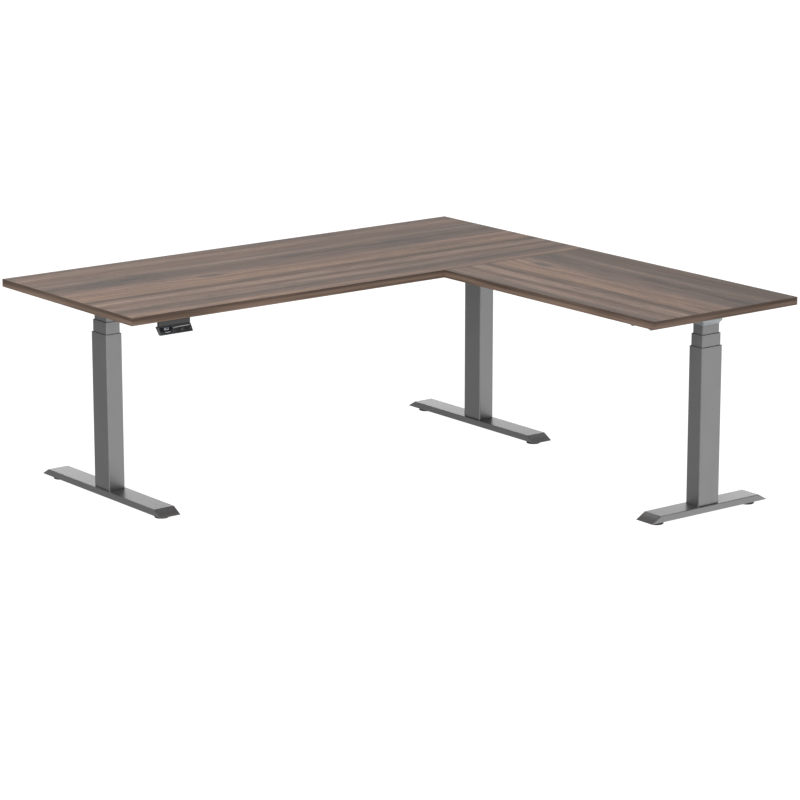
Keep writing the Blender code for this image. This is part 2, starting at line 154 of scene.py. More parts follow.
def tree_node(tree, kind, settings=None, inputs=None):
    """A new node: its settings come first, then the values or links of its sockets."""
    node = tree.nodes.new(kind)
    for name, value in (settings or {}).items():
        if name == "stops":
            set_stops(node.color_ramp, value)
        else:
            setattr(node, name, value)
    for key, item in (inputs or {}).items():
        feed(tree, node.inputs[key], item)
    return node


class Finish:
    """A material under construction, around one Principled BSDF."""

    def __init__(self, name, **constants):
        self.material = bpy.data.materials.new(name)
        self.material.use_nodes = True
        self.tree = self.material.node_tree
        self.shader = self.tree.nodes["Principled BSDF"]
        self.set(**constants)

    def set(self, **sockets):
        for name, item in sockets.items():
            feed(self.tree, self.shader.inputs[name.replace("_", " ")], item)
        return self

    def node(self, kind, settings=None, **sockets):
        inputs = {name.replace("_", " "): item for name, item in sockets.items()}
        return tree_node(self.tree, kind, settings, inputs)

    def value(self, node, output=0):
        return Value(self.tree, node.outputs[output])

    def coordinates(self, location=(0, 0, 0), rotation=(0, 0, 0), scale=(1, 1, 1), source="Object"):
        place = self.node("ShaderNodeTexCoord").outputs[source]
        sockets = {"Vector": place, "Location": location, "Rotation": rotation, "Scale": scale}
        return self.node("ShaderNodeMapping", **sockets).outputs[0]

    def noise(self, vector, scale, detail=2.0, roughness=0.5):
        sockets = {"Vector": vector, "Scale": scale, "Detail": detail, "Roughness": roughness}
        return self.value(self.node("ShaderNodeTexNoise", **sockets))

    def ramp(self, factor, stops):
        return self.node("ShaderNodeValToRGB", {"stops": stops}, Fac=factor).outputs[0]

    def level(self, factor, low, high):
        """A number from 0 to 1 as the factor goes from low to high, smooth at both ends."""
        smooth = {"interpolation_type": "SMOOTHSTEP"}
        return self.value(self.node("ShaderNodeMapRange", smooth, Value=factor, From_Min=low, From_Max=high))

    def mix(self, first, second, factor):
        """Two colours mixed. A colour mix has its sockets at places 0, 6 and 7, and its result at 2."""
        inputs = {0: factor, 6: first, 7: second}
        return tree_node(self.tree, "ShaderNodeMix", {"data_type": "RGBA"}, inputs).outputs[2]

    def brighten(self, colour, factor):
        """The colour times a number."""
        inputs = {"Vector": colour, "Scale": factor}
        return tree_node(self.tree, "ShaderNodeVectorMath", {"operation": "SCALE"}, inputs).outputs[0]

    def bump(self, height, strength, distance):
        node = self.node("ShaderNodeBump", Height=height, Strength=strength, Distance=distance)
        return self.set(Normal=node.outputs[0])


TONES = {
    "tan": (0.218, 0.139, 0.097),
    "pale": (0.214, 0.148, 0.114),
    "mid": (0.160, 0.107, 0.081),
    "rose": (0.154, 0.096, 0.074),
    "grey": (0.129, 0.095, 0.079),
    "umber": (0.096, 0.064, 0.048),
    "slate": (0.086, 0.070, 0.063),
    "ink": (0.052, 0.051, 0.053),
}
PRINT_WIDTH = 0.8
# The strips of the printed veneer, in metres across the grain, and the tone of each.
STRIPS = (
    (0.000, "grey"), (0.045, "mid"), (0.080, "pale"), (0.106, "mid"), (0.122, "rose"),
    (0.150, "mid"), (0.172, "grey"), (0.200, "pale"), (0.224, "grey"), (0.262, "umber"),
    (0.318, "grey"), (0.336, "rose"), (0.352, "pale"), (0.372, "tan"), (0.392, "rose"),
    (0.420, "tan"), (0.462, "tan"), (0.482, "umber"), (0.502, "umber"), (0.524, "pale"),
    (0.552, "pale"), (0.574, "umber"), (0.592, "rose"), (0.614, "pale"), (0.640, "grey"),
    (0.668, "umber"), (0.700, "grey"), (0.722, "tan"), (0.760, "mid"),
)
KNOT = (0.56, 0.362)  # along the grain, and across it
KNOT_REACH = (0.075, 0.022)


def laminate(name, location, rotation, painted_outer_shade):
    """Walnut-look laminate: printed strips, fine fibres, dark pores, blue-grey clouds and a knot, with
    painted shade that darkens it along the grain.

    The painted outer shade is how much lightness is taken off towards its first strips: painted shade, where
    the light falls off.
    """
    finish = Finish(name, Specular_IOR_Level=0.09)
    place = finish.coordinates(location, rotation)
    split = finish.node("ShaderNodeSeparateXYZ", Vector=place)
    along, across = finish.value(split, 0), finish.value(split, 1)

    def stretched(scale_along, scale_across, shift=0.0):
        node = finish.node("ShaderNodeCombineXYZ", X=along * scale_along + shift, Y=across * scale_across)
        return node.outputs[0]

    wander = finish.noise(stretched(1.3, 7.0), 1.0, 2.0) - 0.5
    wave = finish.noise(stretched(5.0, 40.0, 7.0), 1.0, 2.0) - 0.5
    from_knot = across - KNOT[1]
    flow = (along - KNOT[0]).bell(0.0, 0.11) * from_knot.bell(0.0, 0.05) * from_knot
    grain = across + wander * 0.014 + wave * 0.004 - flow * 0.55
    stops = [(at / PRINT_WIDTH, TONES[tone]) for at, tone in STRIPS]
    colour = finish.ramp(grain / PRINT_WIDTH, stops)

    def tint(under, tone, share):
        return finish.mix(under, (*TONES[tone], 1.0), share)

    def fibres(scale_along, scale_across, shift, detail=2.0):
        node = finish.node("ShaderNodeCombineXYZ", X=along * scale_along + shift, Y=grain * scale_across)
        return finish.noise(node.outputs[0], 1.0, detail)

    patches = finish.noise(stretched(1.8, 16.0, 3.0), 1.0, 3.0)
    colour = tint(colour, "slate", finish.level(patches, 0.52, 0.74) * 0.55)
    colour = tint(colour, "tan", finish.level(patches, 0.46, 0.26) * 0.45)
    breaks = finish.noise(stretched(7.0, 48.0, 31.0), 1.0, 3.0)
    colour = tint(colour, "mid", finish.level(breaks, 0.48, 0.62) * 0.55)
    colour = tint(colour, "umber", finish.level(breaks, 0.44, 0.30) * 0.50)

    cloud_strip = across.bell(0.262, 0.05) * (along.bell(0.33, 0.24) + along.bell(1.42, 0.12))
    cloud = finish.level(finish.noise(stretched(9.0, 40.0, 11.0), 1.0, 4.0), 0.34, 0.62) * cloud_strip
    colour = tint(colour, "ink", cloud * 0.62)

    broad = fibres(1.6, 70.0, 1.0)
    streak = fibres(2.6, 190.0, 5.0, 3.0)
    fine = fibres(9.0, 760.0, 9.0, 2.0)
    shade = 1.0 + (broad - 0.5) * 1.2 + (streak - 0.5) * 1.8 + (fine - 0.5) * 0.7
    figure = finish.noise(stretched(150.0, 14.0, 2.0), 1.0, 1.0) - 0.5
    # Painted shade: the tone fades by about a fifth along the grain, as the light falls off across the top.
    shade = (shade + figure * 0.10) * (1.09 - finish.level(along, 0.2, 1.4) * 0.20)
    # Painted shade: darker towards the first strips, by the painted outer shade, as the light falls off
    # towards that side.
    shade = shade * (1.0 - finish.level(across, 0.38, 0.06) * painted_outer_shade)
    colour = finish.brighten(colour, shade)

    dashes = finish.level(fibres(30.0, 300.0, 23.0, 2.0), 0.54, 0.70)
    colour = tint(colour, "ink", dashes * 0.50)
    pores = finish.level(fibres(22.0, 900.0, 17.0, 1.0), 0.63, 0.74)
    colour = tint(colour, "umber", pores * 0.5)

    knot_x = (along - KNOT[0] + wave * 0.02) / KNOT_REACH[0]
    knot_y = (from_knot + wander * 0.012) / KNOT_REACH[1]
    distance = (knot_x * knot_x + knot_y * knot_y) ** 0.5
    rings = (distance * 16.0).math("SINE") * 0.12 + 0.88
    knot = finish.level(distance, 1.05, 0.10)
    colour = tint(colour, "ink", knot * rings * 0.85)

    finish.set(Base_Color=colour, Roughness=0.56 + (streak - 0.5) * 0.16 + pores * 0.10)
    finish.bump(streak * 0.4 + fine * 0.4 - pores * 0.8, 0.10, 0.0004)
    return finish.material


def edge_banding(name):
    """The strip glued round a board: darker wood print, with its grain along the strip."""
    finish = Finish(name, Specular_IOR_Level=0.14)
    place = finish.coordinates(source="UV")
    split = finish.node("ShaderNodeSeparateXYZ", Vector=place)
    along, height = finish.value(split, 0), finish.value(split, 1)

    def stretched(scale_along, scale_up):
        return finish.node("ShaderNodeCombineXYZ", X=along * scale_along, Y=height * scale_up).outputs[0]

    broad = finish.noise(stretched(2.2, 90.0), 1.0, 2.0)
    fine = finish.noise(stretched(7.0, 700.0), 1.0, 3.0)
    colour = finish.mix((0.074, 0.048, 0.034, 1.0), (0.150, 0.103, 0.078, 1.0), finish.level(broad, 0.3, 0.7))
    upper = finish.level(height, 0.013, 0.020)
    colour = finish.brighten(colour, (0.70 + fine * 0.52) * (1.06 - upper * 0.45))
    finish.set(Base_Color=colour, Roughness=0.42 + fine * 0.14)
    finish.bump(fine, 0.08, 0.0003)
    return finish.material


def satin_paint(name, colour, metallic, roughness, grain):
    """Powder coat: a fine orange peel, with faint clouding in its tone."""
    finish = Finish(name, Metallic=metallic)
    place = finish.coordinates()
    peel = finish.noise(place, grain, 2.0, 0.6)
    cloud = finish.noise(place, 9.0, 2.0)
    finish.set(
        Base_Color=finish.brighten((*colour,), 0.94 + cloud * 0.12),
        Roughness=roughness - 0.04 + peel * 0.08,
    )
    finish.bump(peel, 0.10, 0.0002)
    return finish.material


def moulded_plastic(name, colour, roughness, grain=900.0, relief=0.25):
    """Moulded plastic with a spark-eroded texture."""
    finish = Finish(name)
    place = finish.coordinates()
    texture = finish.noise(place, grain, 2.0, 0.7)
    wear = finish.noise(place, 35.0, 3.0)
    finish.set(
        Base_Color=finish.brighten((*colour,), 0.82 + wear * 0.36),
        Roughness=roughness - 0.06 + texture * 0.12,
    )
    finish.bump(texture, relief, 0.0002)
    return finish.material


def bright_steel(name, colour=(0.52, 0.52, 0.53), roughness=0.3):
    """Turned or plated steel, with fine marks round its axis."""
    finish = Finish(name, Metallic=1.0)
    place = finish.coordinates(scale=(60.0, 60.0, 2500.0))
    marks = finish.noise(place, 1.0, 2.0)
    finish.set(
        Base_Color=finish.brighten((*colour,), 0.88 + marks * 0.24), Roughness=roughness - 0.05 + marks * 0.12
    )
    finish.bump(marks, 0.06, 0.0001)
    return finish.material


def glowing(name, colour, strength):
    """A lit mark behind a dark cover."""
    finish = Finish(name, Roughness=0.4)
    grain = finish.noise(finish.coordinates(), 1500.0, 1.0)
    lit = finish.brighten((*colour,), 0.9 + grain * 0.2)
    finish.set(Base_Color=finish.brighten(lit, 0.25), Emission_Color=lit, Emission_Strength=strength)
    return finish.material


# Meshes.


def rounded_rectangle(width, depth, radius, corner_steps=8):
    points = []
    for corner, (side_x, side_y) in enumerate(((1, 1), (-1, 1), (-1, -1), (1, -1))):
        centre_x = side_x * (width / 2 - radius)
        centre_y = side_y * (depth / 2 - radius)
        for step in range(corner_steps + 1):
            angle = pi / 2 * (corner + step / corner_steps)
            points.append((centre_x + radius * cos(angle), centre_y + radius * sin(angle)))
    return points


def circle(radius, steps=48):
    angles = [2 * pi * step / steps for step in range(steps)]
    return [(radius * cos(angle), radius * sin(angle)) for angle in angles]


def on_axis(point, along, axis):
    first, second = point
    return {"X": (along, first, second), "Y": (second, along, first), "Z": (first, second, along)}[axis]


def added(name, data):
    """A new object in the scene."""
    made = bpy.data.objects.new(name, data)
    bpy.context.scene.collection.objects.link(made)
    return made


def loft(loops, ring=False):
    """A closed mesh through loops of as many points each: capped at both ends, or joined round as a ring."""
    shape = bmesh.new()
    rows = [[shape.verts.new(point) for point in loop] for loop in loops]
    pairs = list(zip(rows, rows[1:]))
    if ring:
        pairs.append((rows[-1], rows[0]))
    else:
        shape.faces.new(rows[0])
        shape.faces.new(rows[-1])
    for lower, upper in pairs:
        for index in range(len(lower)):
            after = (index + 1) % len(lower)
            shape.faces.new((lower[index], lower[after], upper[after], upper[index]))
    bmesh.ops.recalc_face_normals(shape, faces=shape.faces)
    mesh = bpy.data.meshes.new("shape")
    shape.to_mesh(mesh)
    shape.free()
    return mesh


def stacked(outlines, axis="Z", ring=False):
    """A loft through (outline, distance along the axis) pairs."""
    return loft([[on_axis(point, along, axis) for point in outline] for outline, along in outlines], ring)


def extruded(outline, low, high, axis="Z"):
    return stacked([(outline, low), (outline, high)], axis)


def slab(width, depth, corner, low, high, axis="Z"):
    """A flat piece with rounded corners."""
    return extruded(rounded_rectangle(width, depth, corner), low, high, axis)


def block(low, high):
    outline = [(low[0], low[1]), (high[0], low[1]), (high[0], high[1]), (low[0], high[1])]
    return extruded(outline, low[2], high[2])


def turned(profile, axis="Z", steps=48):
    """A round solid through (radius, distance along the axis) pairs."""
    return stacked([(circle(radius, steps), along) for radius, along in profile], axis)


def eased(profile, radius, steps=3):
    """An open profile with each inner corner rounded, as far as its shorter side allows."""
    points = [Vector(point) for point in profile]
    result = [tuple(points[0])]
    for before, corner, after in zip(points, points[1:], points[2:]):
        reach = min(radius, (before - corner).length * 0.45, (after - corner).length * 0.45)
        start = corner + (before - corner).normalized() * reach
        end = corner + (after - corner).normalized() * reach
        for step in range(steps + 1):
            share = step / steps
            first = start.lerp(corner, share)
            second = corner.lerp(end, share)
            result.append(tuple(first.lerp(second, share)))
    result.append(tuple(points[-1]))
    return result


def placed(mesh, matrix):
    mesh.transform(matrix)
    if matrix.determinant() < 0:
        mesh.flip_normals()
    return mesh


def shifted(mesh, offset):
    return placed(mesh, Matrix.Translation(offset))


def worked(mesh, bevel=0.0, bevel_steps=3, joined=(), cut=(), angle=30):
    """A new mesh with its edges bevelled, and other solids joined to it or cut from it."""
    blank = added("blank", mesh)
    helpers = [blank]
    if bevel:
        edge = blank.modifiers.new("edges", "BEVEL")
        edge.width = bevel
        edge.segments = bevel_steps
        edge.limit_method = "ANGLE"
        edge.angle_limit = radians(angle)
    for operation, others in (("UNION", joined), ("DIFFERENCE", cut)):
        for other in others:
            helper = added("helper", other)
            helpers.append(helper)
            boolean = blank.modifiers.new(operation.lower(), "BOOLEAN")
            boolean.operation = operation
            boolean.object = helper
    result = evaluated_mesh(blank)
    for helper in helpers:
        bpy.data.objects.remove(helper, do_unlink=True)
    return result


def evaluated_mesh(obj):
    bpy.context.view_layer.update()
    return bpy.data.meshes.new_from_object(obj.evaluated_get(bpy.context.evaluated_depsgraph_get()))


def merged(meshes):
    """Several closed meshes as one."""
    shape = bmesh.new()
    for mesh in meshes:
        shape.from_mesh(mesh)
    result = bpy.data.meshes.new("merged")
    shape.to_mesh(result)
    shape.free()
    return result


def piece(name, mesh, material, body, replaced=(), sharp=35):
    """A finished piece that rides on a body and stands for the nodes it replaces."""
    mesh.shade_smooth()
    mesh.set_sharp_from_angle(angle=radians(sharp))
    made = added(name, mesh)
    weigh = made.modifiers.new("normals", "WEIGHTED_NORMAL")
    weigh.keep_sharp = True
    flat = evaluated_mesh(made)
    made.modifiers.remove(weigh)
    made.data = flat
    bpy.data.meshes.remove(mesh)
    flat.name = name
    flat.materials.clear()
    flat.materials.append(material)
    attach(made, body)
    if replaced:
        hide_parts(*replaced)
    return made


def node_finish(name, material):
    """A better material on a node that is shown as it is."""
    node = NODES[name]
    node.data.materials.clear()
    node.data.materials.append(material)


# Geometry Nodes: screws and contact pins.


def spread_tree(name, sizes, shape):
    """A geometry node tree that sets one shape on each point, along the point's facing direction."""
    tree = bpy.data.node_groups.new(name, "GeometryNodeTree")
    tree.interface.new_socket("Points", in_out="INPUT", socket_type="NodeSocketGeometry")
    for size in sizes:
        socket = tree.interface.new_socket(size, in_out="INPUT", socket_type="NodeSocketFloat")
        socket.subtype = "DISTANCE"
    tree.interface.new_socket("Material", in_out="INPUT", socket_type="NodeSocketMaterial")
    tree.interface.new_socket("Shapes", in_out="OUTPUT", socket_type="NodeSocketGeometry")
    given = tree_node(tree, "NodeGroupInput").outputs
    vector = {"data_type": "FLOAT_VECTOR"}
    facing = tree_node(tree, "GeometryNodeInputNamedAttribute", vector, {"Name": "facing"})
    towards = {"Vector": facing.outputs["Attribute"]}
    turn = tree_node(tree, "FunctionNodeAlignRotationToVector", {"axis": "Z"}, towards)
    places = {"Points": given["Points"], "Instance": shape(tree, given), "Rotation": turn.outputs[0]}
    spread = tree_node(tree, "GeometryNodeInstanceOnPoints", None, places)
    real = tree_node(tree, "GeometryNodeRealizeInstances", None, {"Geometry": spread.outputs[0]})
    coat = {"Geometry": real.outputs[0], "Material": given["Material"]}
    painted = tree_node(tree, "GeometryNodeSetMaterial", None, coat)
    tree.links.new(painted.outputs[0], tree_node(tree, "NodeGroupOutput").inputs[0])
    return tree


def drum(tree, sides, radius, depth, lift, top_radius=None):
    """An upright prism, or a cone where it has a top radius, centred at a height."""
    sizes = {"Vertices": sides, "Side Segments": 1, "Fill Segments": 1, "Depth": depth}
    if top_radius is None:
        made = tree_node(tree, "GeometryNodeMeshCylinder", None, {**sizes, "Radius": radius})
    else:
        ends = {"Radius Top": top_radius, "Radius Bottom": radius}
        made = tree_node(tree, "GeometryNodeMeshCone", None, {**sizes, **ends})
    offset = tree_node(tree, "ShaderNodeCombineXYZ", None, {"Z": lift})
    moved = {"Geometry": made.outputs["Mesh"], "Translation": offset.outputs[0]}
    return tree_node(tree, "GeometryNodeTransform", None, moved).outputs[0]


def scaled(tree, socket, factor):
    return tree_node(tree, "ShaderNodeMath", {"operation": "MULTIPLY"}, {0: socket, 1: factor}).outputs[0]


SHOULDER = (0.749, 0.78)  # the middle of its height and its upper radius, as shares of the head's
RECESS = 0.46  # its radius, as a share of the head's
PIN_TIP = 0.7


def screw_shape(tree, given):
    """A screw head with a sloping shoulder and a hexagonal recess."""
    radius, height = given["Radius"], given["Height"]
    half = scaled(tree, height, 0.5)
    disc = drum(tree, 24, radius, half, scaled(tree, height, 0.25))
    lift, top_radius = scaled(tree, height, SHOULDER[0]), scaled(tree, radius, SHOULDER[1])
    shoulder = drum(tree, 24, radius, half, lift, top_radius)
    recess = drum(tree, 6, scaled(tree, radius, RECESS), height, height)
    head = tree_node(tree, "GeometryNodeMeshBoolean", {"operation": "UNION", "solver": "EXACT"})
    tree.links.new(disc, head.inputs["Mesh 2"])
    tree.links.new(shoulder, head.inputs["Mesh 2"])
    parts = {"Mesh 1": head.outputs["Mesh"], "Mesh 2": recess}
    cut = {"operation": "DIFFERENCE", "solver": "EXACT"}
    return tree_node(tree, "GeometryNodeMeshBoolean", cut, parts).outputs["Mesh"]


def pin_shape(tree, given):
    """A round contact pin with a tapered tip."""
    radius, height = given["Radius"], given["Height"]
    return drum(tree, 12, radius, height, scaled(tree, height, 0.5), scaled(tree, radius, PIN_TIP))


SHAPES = {"screw": screw_shape, "pin": pin_shape}


def spread(name, shape, places, radius, height, body, slot, material):
    """Screw heads or pins at (point, facing) places, made into one plain mesh on one body."""
    tree = bpy.data.node_groups.get(shape) or spread_tree(shape, ("Radius", "Height"), SHAPES[shape])
    mesh = bpy.data.meshes.new(name)
    mesh.from_pydata([tuple(point) for point, _ in places], [], [])
    facing = mesh.attributes.new("facing", "FLOAT_VECTOR", "POINT")
    for index, (_, direction) in enumerate(places):
        facing.data[index].vector = direction
    holder = added(name + "_points", mesh)
    modifier = holder.modifiers.new(shape, "NODES")
    modifier.node_group = tree
    values = {"Radius": radius, "Height": height, "Material": material}
    for item in tree.interface.items_tree:
        if item.in_out == "INPUT" and item.name in values:
            modifier[item.identifier] = values[item.name]
    made = evaluated_mesh(holder)
    holder.modifiers.remove(modifier)
    bpy.data.objects.remove(holder, do_unlink=True)
    return piece(name, made, material, body)


# Settings, as a user would change them.


class BoardSettings(bpy.types.PropertyGroup):
    band_radius: bpy.props.FloatProperty(
        name="Band Radius",
        description="Rounding along the edge banding",
        default=0.0011,
        unit="LENGTH",
    )
    joint_groove: bpy.props.FloatProperty(
        name="Joint Groove",
        description="Width and depth of the fine groove where the banding meets the laminate",
        default=0.0004,
        unit="LENGTH",
    )
    band_thickness: bpy.props.FloatProperty(
        name="Band Thickness", description="How thick the edge banding is", default=0.002, unit="LENGTH"
    )


class FrameSettings(bpy.types.PropertyGroup):
    paint: bpy.props.FloatVectorProperty(
        name="Paint", description="Colour of the powder coat", default=(0.20, 0.20, 0.203), subtype="COLOR"
    )
    paint_metallic: bpy.props.FloatProperty(
        name="Metallic", description="How metallic the powder coat looks", default=0.85, subtype="FACTOR"
    )
    paint_roughness: bpy.props.FloatProperty(
        name="Roughness", description="Roughness of the powder coat", default=0.38, subtype="FACTOR"
    )
    rim_radius: bpy.props.FloatProperty(
        name="Rim Radius", description="Rounding of the tubes' rims", default=0.0005, unit="LENGTH"
    )
    tube_corner: bpy.props.FloatProperty(
        name="Tube Corner", description="Radius of the columns' corners", default=0.005, unit="LENGTH"
    )
    tube_wall: bpy.props.FloatProperty(
        name="Tube Wall", description="Wall of the columns' tubes", default=0.0018, unit="LENGTH"
    )
    foot_edge: bpy.props.FloatProperty(
        name="Foot Edge", description="Rounding along a foot's edges", default=0.0018, unit="LENGTH"
    )
    sheet: bpy.props.FloatProperty(
        name="Sheet", description="Thickness of the brackets' steel", default=0.0025, unit="LENGTH"
    )
    screw_head: bpy.props.FloatProperty(
        name="Screw Head", description="Radius of the larger screw heads", default=0.0052, unit="LENGTH"
    )


class ControlSettings(bpy.types.PropertyGroup):
    reading: bpy.props.StringProperty(
        name="Reading", description="What the height display shows", default="66.2"
    )
    digit_height: bpy.props.FloatProperty(
        name="Digit Height", description="Height of the display's digits", default=0.0064, unit="LENGTH"
    )
    glow: bpy.props.FloatProperty(name="Glow", description="How bright the lit marks are", default=0.45)
    base_depth: bpy.props.FloatProperty(
        name="Base Depth", description="Depth of the controller at its foot", default=0.010, unit="LENGTH"
    )
    case_edge: bpy.props.FloatProperty(
        name="Case Edge", description="Rounding of the hand controller's edges", default=0.003, unit="LENGTH"
    )


class StageSettings(bpy.types.PropertyGroup):
    floor_colour: bpy.props.FloatVectorProperty(
        name="Floor", description="Colour of the studio floor", default=(0.98, 0.98, 0.98), subtype="COLOR"
    )
    floor_glow: bpy.props.FloatProperty(
        name="Floor Glow", description="How strongly the floor is lit from below", default=1.04
    )
    room: bpy.props.FloatProperty(
        name="Room", description="Brightness of the room round the desk", default=0.12
    )
    backdrop: bpy.props.FloatProperty(
        name="Backdrop", description="Brightness of the backdrop behind the desk", default=2.0
    )
    low_front: bpy.props.FloatProperty(
        name="Front Ground", description="Brightness of the ground mirrored from the front", default=1.40
    )
    low_left: bpy.props.FloatProperty(
        name="Left Ground", description="Brightness of the ground mirrored from the left", default=0.33
    )
    top_strength: bpy.props.FloatProperty(
        name="Top Light", description="Strength of the overhead light", default=2.05
    )
    top_spread: bpy.props.FloatProperty(
        name="Top Spread", description="How soft the overhead light is", default=radians(75), subtype="ANGLE"
    )
    key_power: bpy.props.FloatProperty(
        name="Key Light", description="Power of the front softbox", default=380.0
    )
    key_size: bpy.props.FloatProperty(
        name="Key Size", description="Side of the front softbox", default=2.6, unit="LENGTH"
    )
    key_place: bpy.props.FloatVectorProperty(
        name="Key Place",
        description="Where the front softbox stands",
        default=(-4.6, -3.4, 2.8),
        subtype="TRANSLATION",
    )


# Boards.

# Each board's node, how its veneer print is shifted and turned, and its painted outer shade: how much darker
# it is painted towards its first strips.
BOARDS = {
    "main": ("main_desktop", (0.9, 0.875, 0.0), (pi, 0.0, 0.0), 0.05),
    "return": ("return_desktop", (0.555, 0.97, 0.0), (pi, 0.0, -pi / 2), 0.44),
}
CORE_CORNER = 0.0005
SIDE_SHIFT = 0.37  # how far the banding's print moves on from one side of a board to the next


def board_meshes(low, high, settings):
    """A board's core, and the banding round it with a groove at each of its long edges."""
    centre = (low + high) / 2
    size = high - low
    band = settings.band_thickness
    groove = settings.joint_groove
    radius = settings.band_radius
    top = size.z / 2
    core = extruded(rounded_rectangle(size.x - 2 * band, size.y - 2 * band, CORE_CORNER, 2), -top, top)
    core = worked(core, bevel=groove / 2, bevel_steps=2)
    section = eased([(groove / 2 - band, -top), (0, -top), (0, top), (groove / 2 - band, top)], radius, 4)
    section = [(-band, groove - top), *section, (-band, top - groove)]
    shape = bmesh.new()
    uv = shape.loops.layers.uv.new("strip")
    corners = [(size.x / 2, size.y / 2), (-size.x / 2, size.y / 2), (-size.x / 2, -size.y / 2)]
    corners.append((size.x / 2, -size.y / 2))
    rows = []
    for corner_x, corner_y in corners:
        sign = Vector((1 if corner_x > 0 else -1, 1 if corner_y > 0 else -1))
        rows.append(
            [shape.verts.new((corner_x + sign.x * out, corner_y + sign.y * out, up)) for out, up in section]
        )
    lengths = [size.x, size.y, size.x, size.y]
    heights = [0.0]
    for (first_out, first_up), (next_out, next_up) in zip(section, section[1:]):
        heights.append(heights[-1] + hypot(next_out - first_out, next_up - first_up))
    heights.append(heights[-1] + 2 * top)
    start = 0.0
    for side in range(4):
        first, second = rows[side], rows[(side + 1) % 4]
        for index in range(len(section)):
            after = (index + 1) % len(section)
            face = shape.faces.new((first[index], second[index], second[after], first[after]))
            spots = (
                (start, heights[index]),
                (start + lengths[side], heights[index]),
                (start + lengths[side], heights[index + 1]),
                (start, heights[index + 1]),
            )
            for loop, spot in zip(face.loops, spots):
                loop[uv].uv = spot
        start += lengths[side] + SIDE_SHIFT
    bmesh.ops.recalc_face_normals(shape, faces=shape.faces)
    strip = bpy.data.meshes.new("strip")
    shape.to_mesh(strip)
    shape.free()
    return shifted(core, centre), shifted(strip, centre)


class DESK_OT_boards(bpy.types.Operator):
    """Build the two laminate boards with their edge banding"""

    bl_idname = "desk.boards"
    bl_label = "Boards"

    def execute(self, context):
        banding = edge_banding("edge_banding")
        for board, (node, *veneer) in BOARDS.items():
            core, strip = board_meshes(*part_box(node), context.scene.desk_boards)
            wood = laminate(f"walnut_laminate_{board}", *veneer)
            piece(f"{board}_board", core, wood, "top", (node,))
            piece(f"{board}_edge_band", strip, banding, "top", (node,))
        return {"FINISHED"}


# Legs.


def tube_mesh(width, depth, corner, wall, low, high, rim, axis="Z"):
    """A tube with rounded corners, open at both ends, with its rims eased."""
    levels = [(0.0, low + rim), (0.0, high - rim)]
    for angle in (pi / 4, pi / 2):
        levels.append((rim * (1 - cos(angle)), high - rim + rim * sin(angle)))
    levels += [(wall - rim, high), (wall, high - rim), (wall, low + rim), (wall - rim, low), (rim, low)]
    outlines = [
        (rounded_rectangle(width - 2 * inset, depth - 2 * inset, corner - inset), along)
        for inset, along in levels
    ]
    return stacked(outlines, axis, ring=True)


def stage_mesh(leg, stage, settings):
    """One tube of a column, in the leg's own frame, the size of its node."""
    low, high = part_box(f"{leg}_{stage}_tube")
    size = high - low
    along = LEGS[leg]["along"]
    width, depth = (size.x, size.y) if abs(along.x) > 0.5 else (size.y, size.x)
    corner, wall, rim = settings.tube_corner, settings.tube_wall, settings.rim_radius
    return tube_mesh(width, depth, corner, wall, low.z, high.z, rim)


FOOT_SLOPE = 0.037  # how far each end leans in over the foot's height
FOOT_WALL = 0.003
FOOT_SOLID = 0.055  # half the length that stays solid under the column
STUD_LAND = 0.02  # solid metal on the column's side of a stud
STUD_HOLE = (0.0045, 0.03)  # radius and depth
CAVITY_EDGE = 0.002


def foot_mesh(leg, settings):
    """A foot: sloping ends, eased edges, hollow below except at its middle and round its two studs."""
    low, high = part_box(f"{leg}_foot")
    size = high - low
    length, width = (size.x, size.y) if abs(LEGS[leg]["along"].x) > 0.5 else (size.y, size.x)
    half, half_width = length / 2, width / 2
    wall = FOOT_WALL
    profile = [(-half, low.z), (half, low.z), (half - FOOT_SLOPE, high.z), (FOOT_SLOPE - half, high.z)]
    bar = loft([[(x, side, z) for x, z in profile] for side in (-half_width, half_width)])
    stud_at = stud_distance(leg)
    cuts = []
    for side in (-1, 1):
        near, far = sorted((side * FOOT_SOLID, side * (stud_at - STUD_LAND)))
        cavity = block((near, wall - half_width, 0), (far, half_width - wall, high.z - wall))
        cuts.append(worked(cavity, bevel=CAVITY_EDGE, bevel_steps=2))
        hole_radius, hole_depth = STUD_HOLE
        cuts.append(shifted(extruded(circle(hole_radius, 24), 0, hole_depth), (side * stud_at, 0, 0)))
    return worked(bar, bevel=settings.foot_edge, bevel_steps=4, cut=cuts)


def stud_distance(leg):
    first, second = [node_centre(f"{leg}_glide_{end}") for end in LEGS[leg]["ends"]]
    return (first - second).length / 2


CASING_START = (0.0005, 0.002)  # where the flare starts above the casing's foot, and its growth there
CASING_RISE = 0.0115  # the height that the flare takes
CASING_FLARE = 0.015  # how much wider than the inner tube the casing ends
CASING_RIM = 0.001
CASING_CORNER = 0.0055
NECK_WIDTH = 0.04
NECK_START = 0.02  # from the column's middle
NECK_EDGE = 0.0018
NECK_GAPS = (0.0009, 0.0012)  # above the casing's foot, and below the bracket
MOTOR_SPAN = 0.0506  # from the motor's middle to the end of the neck


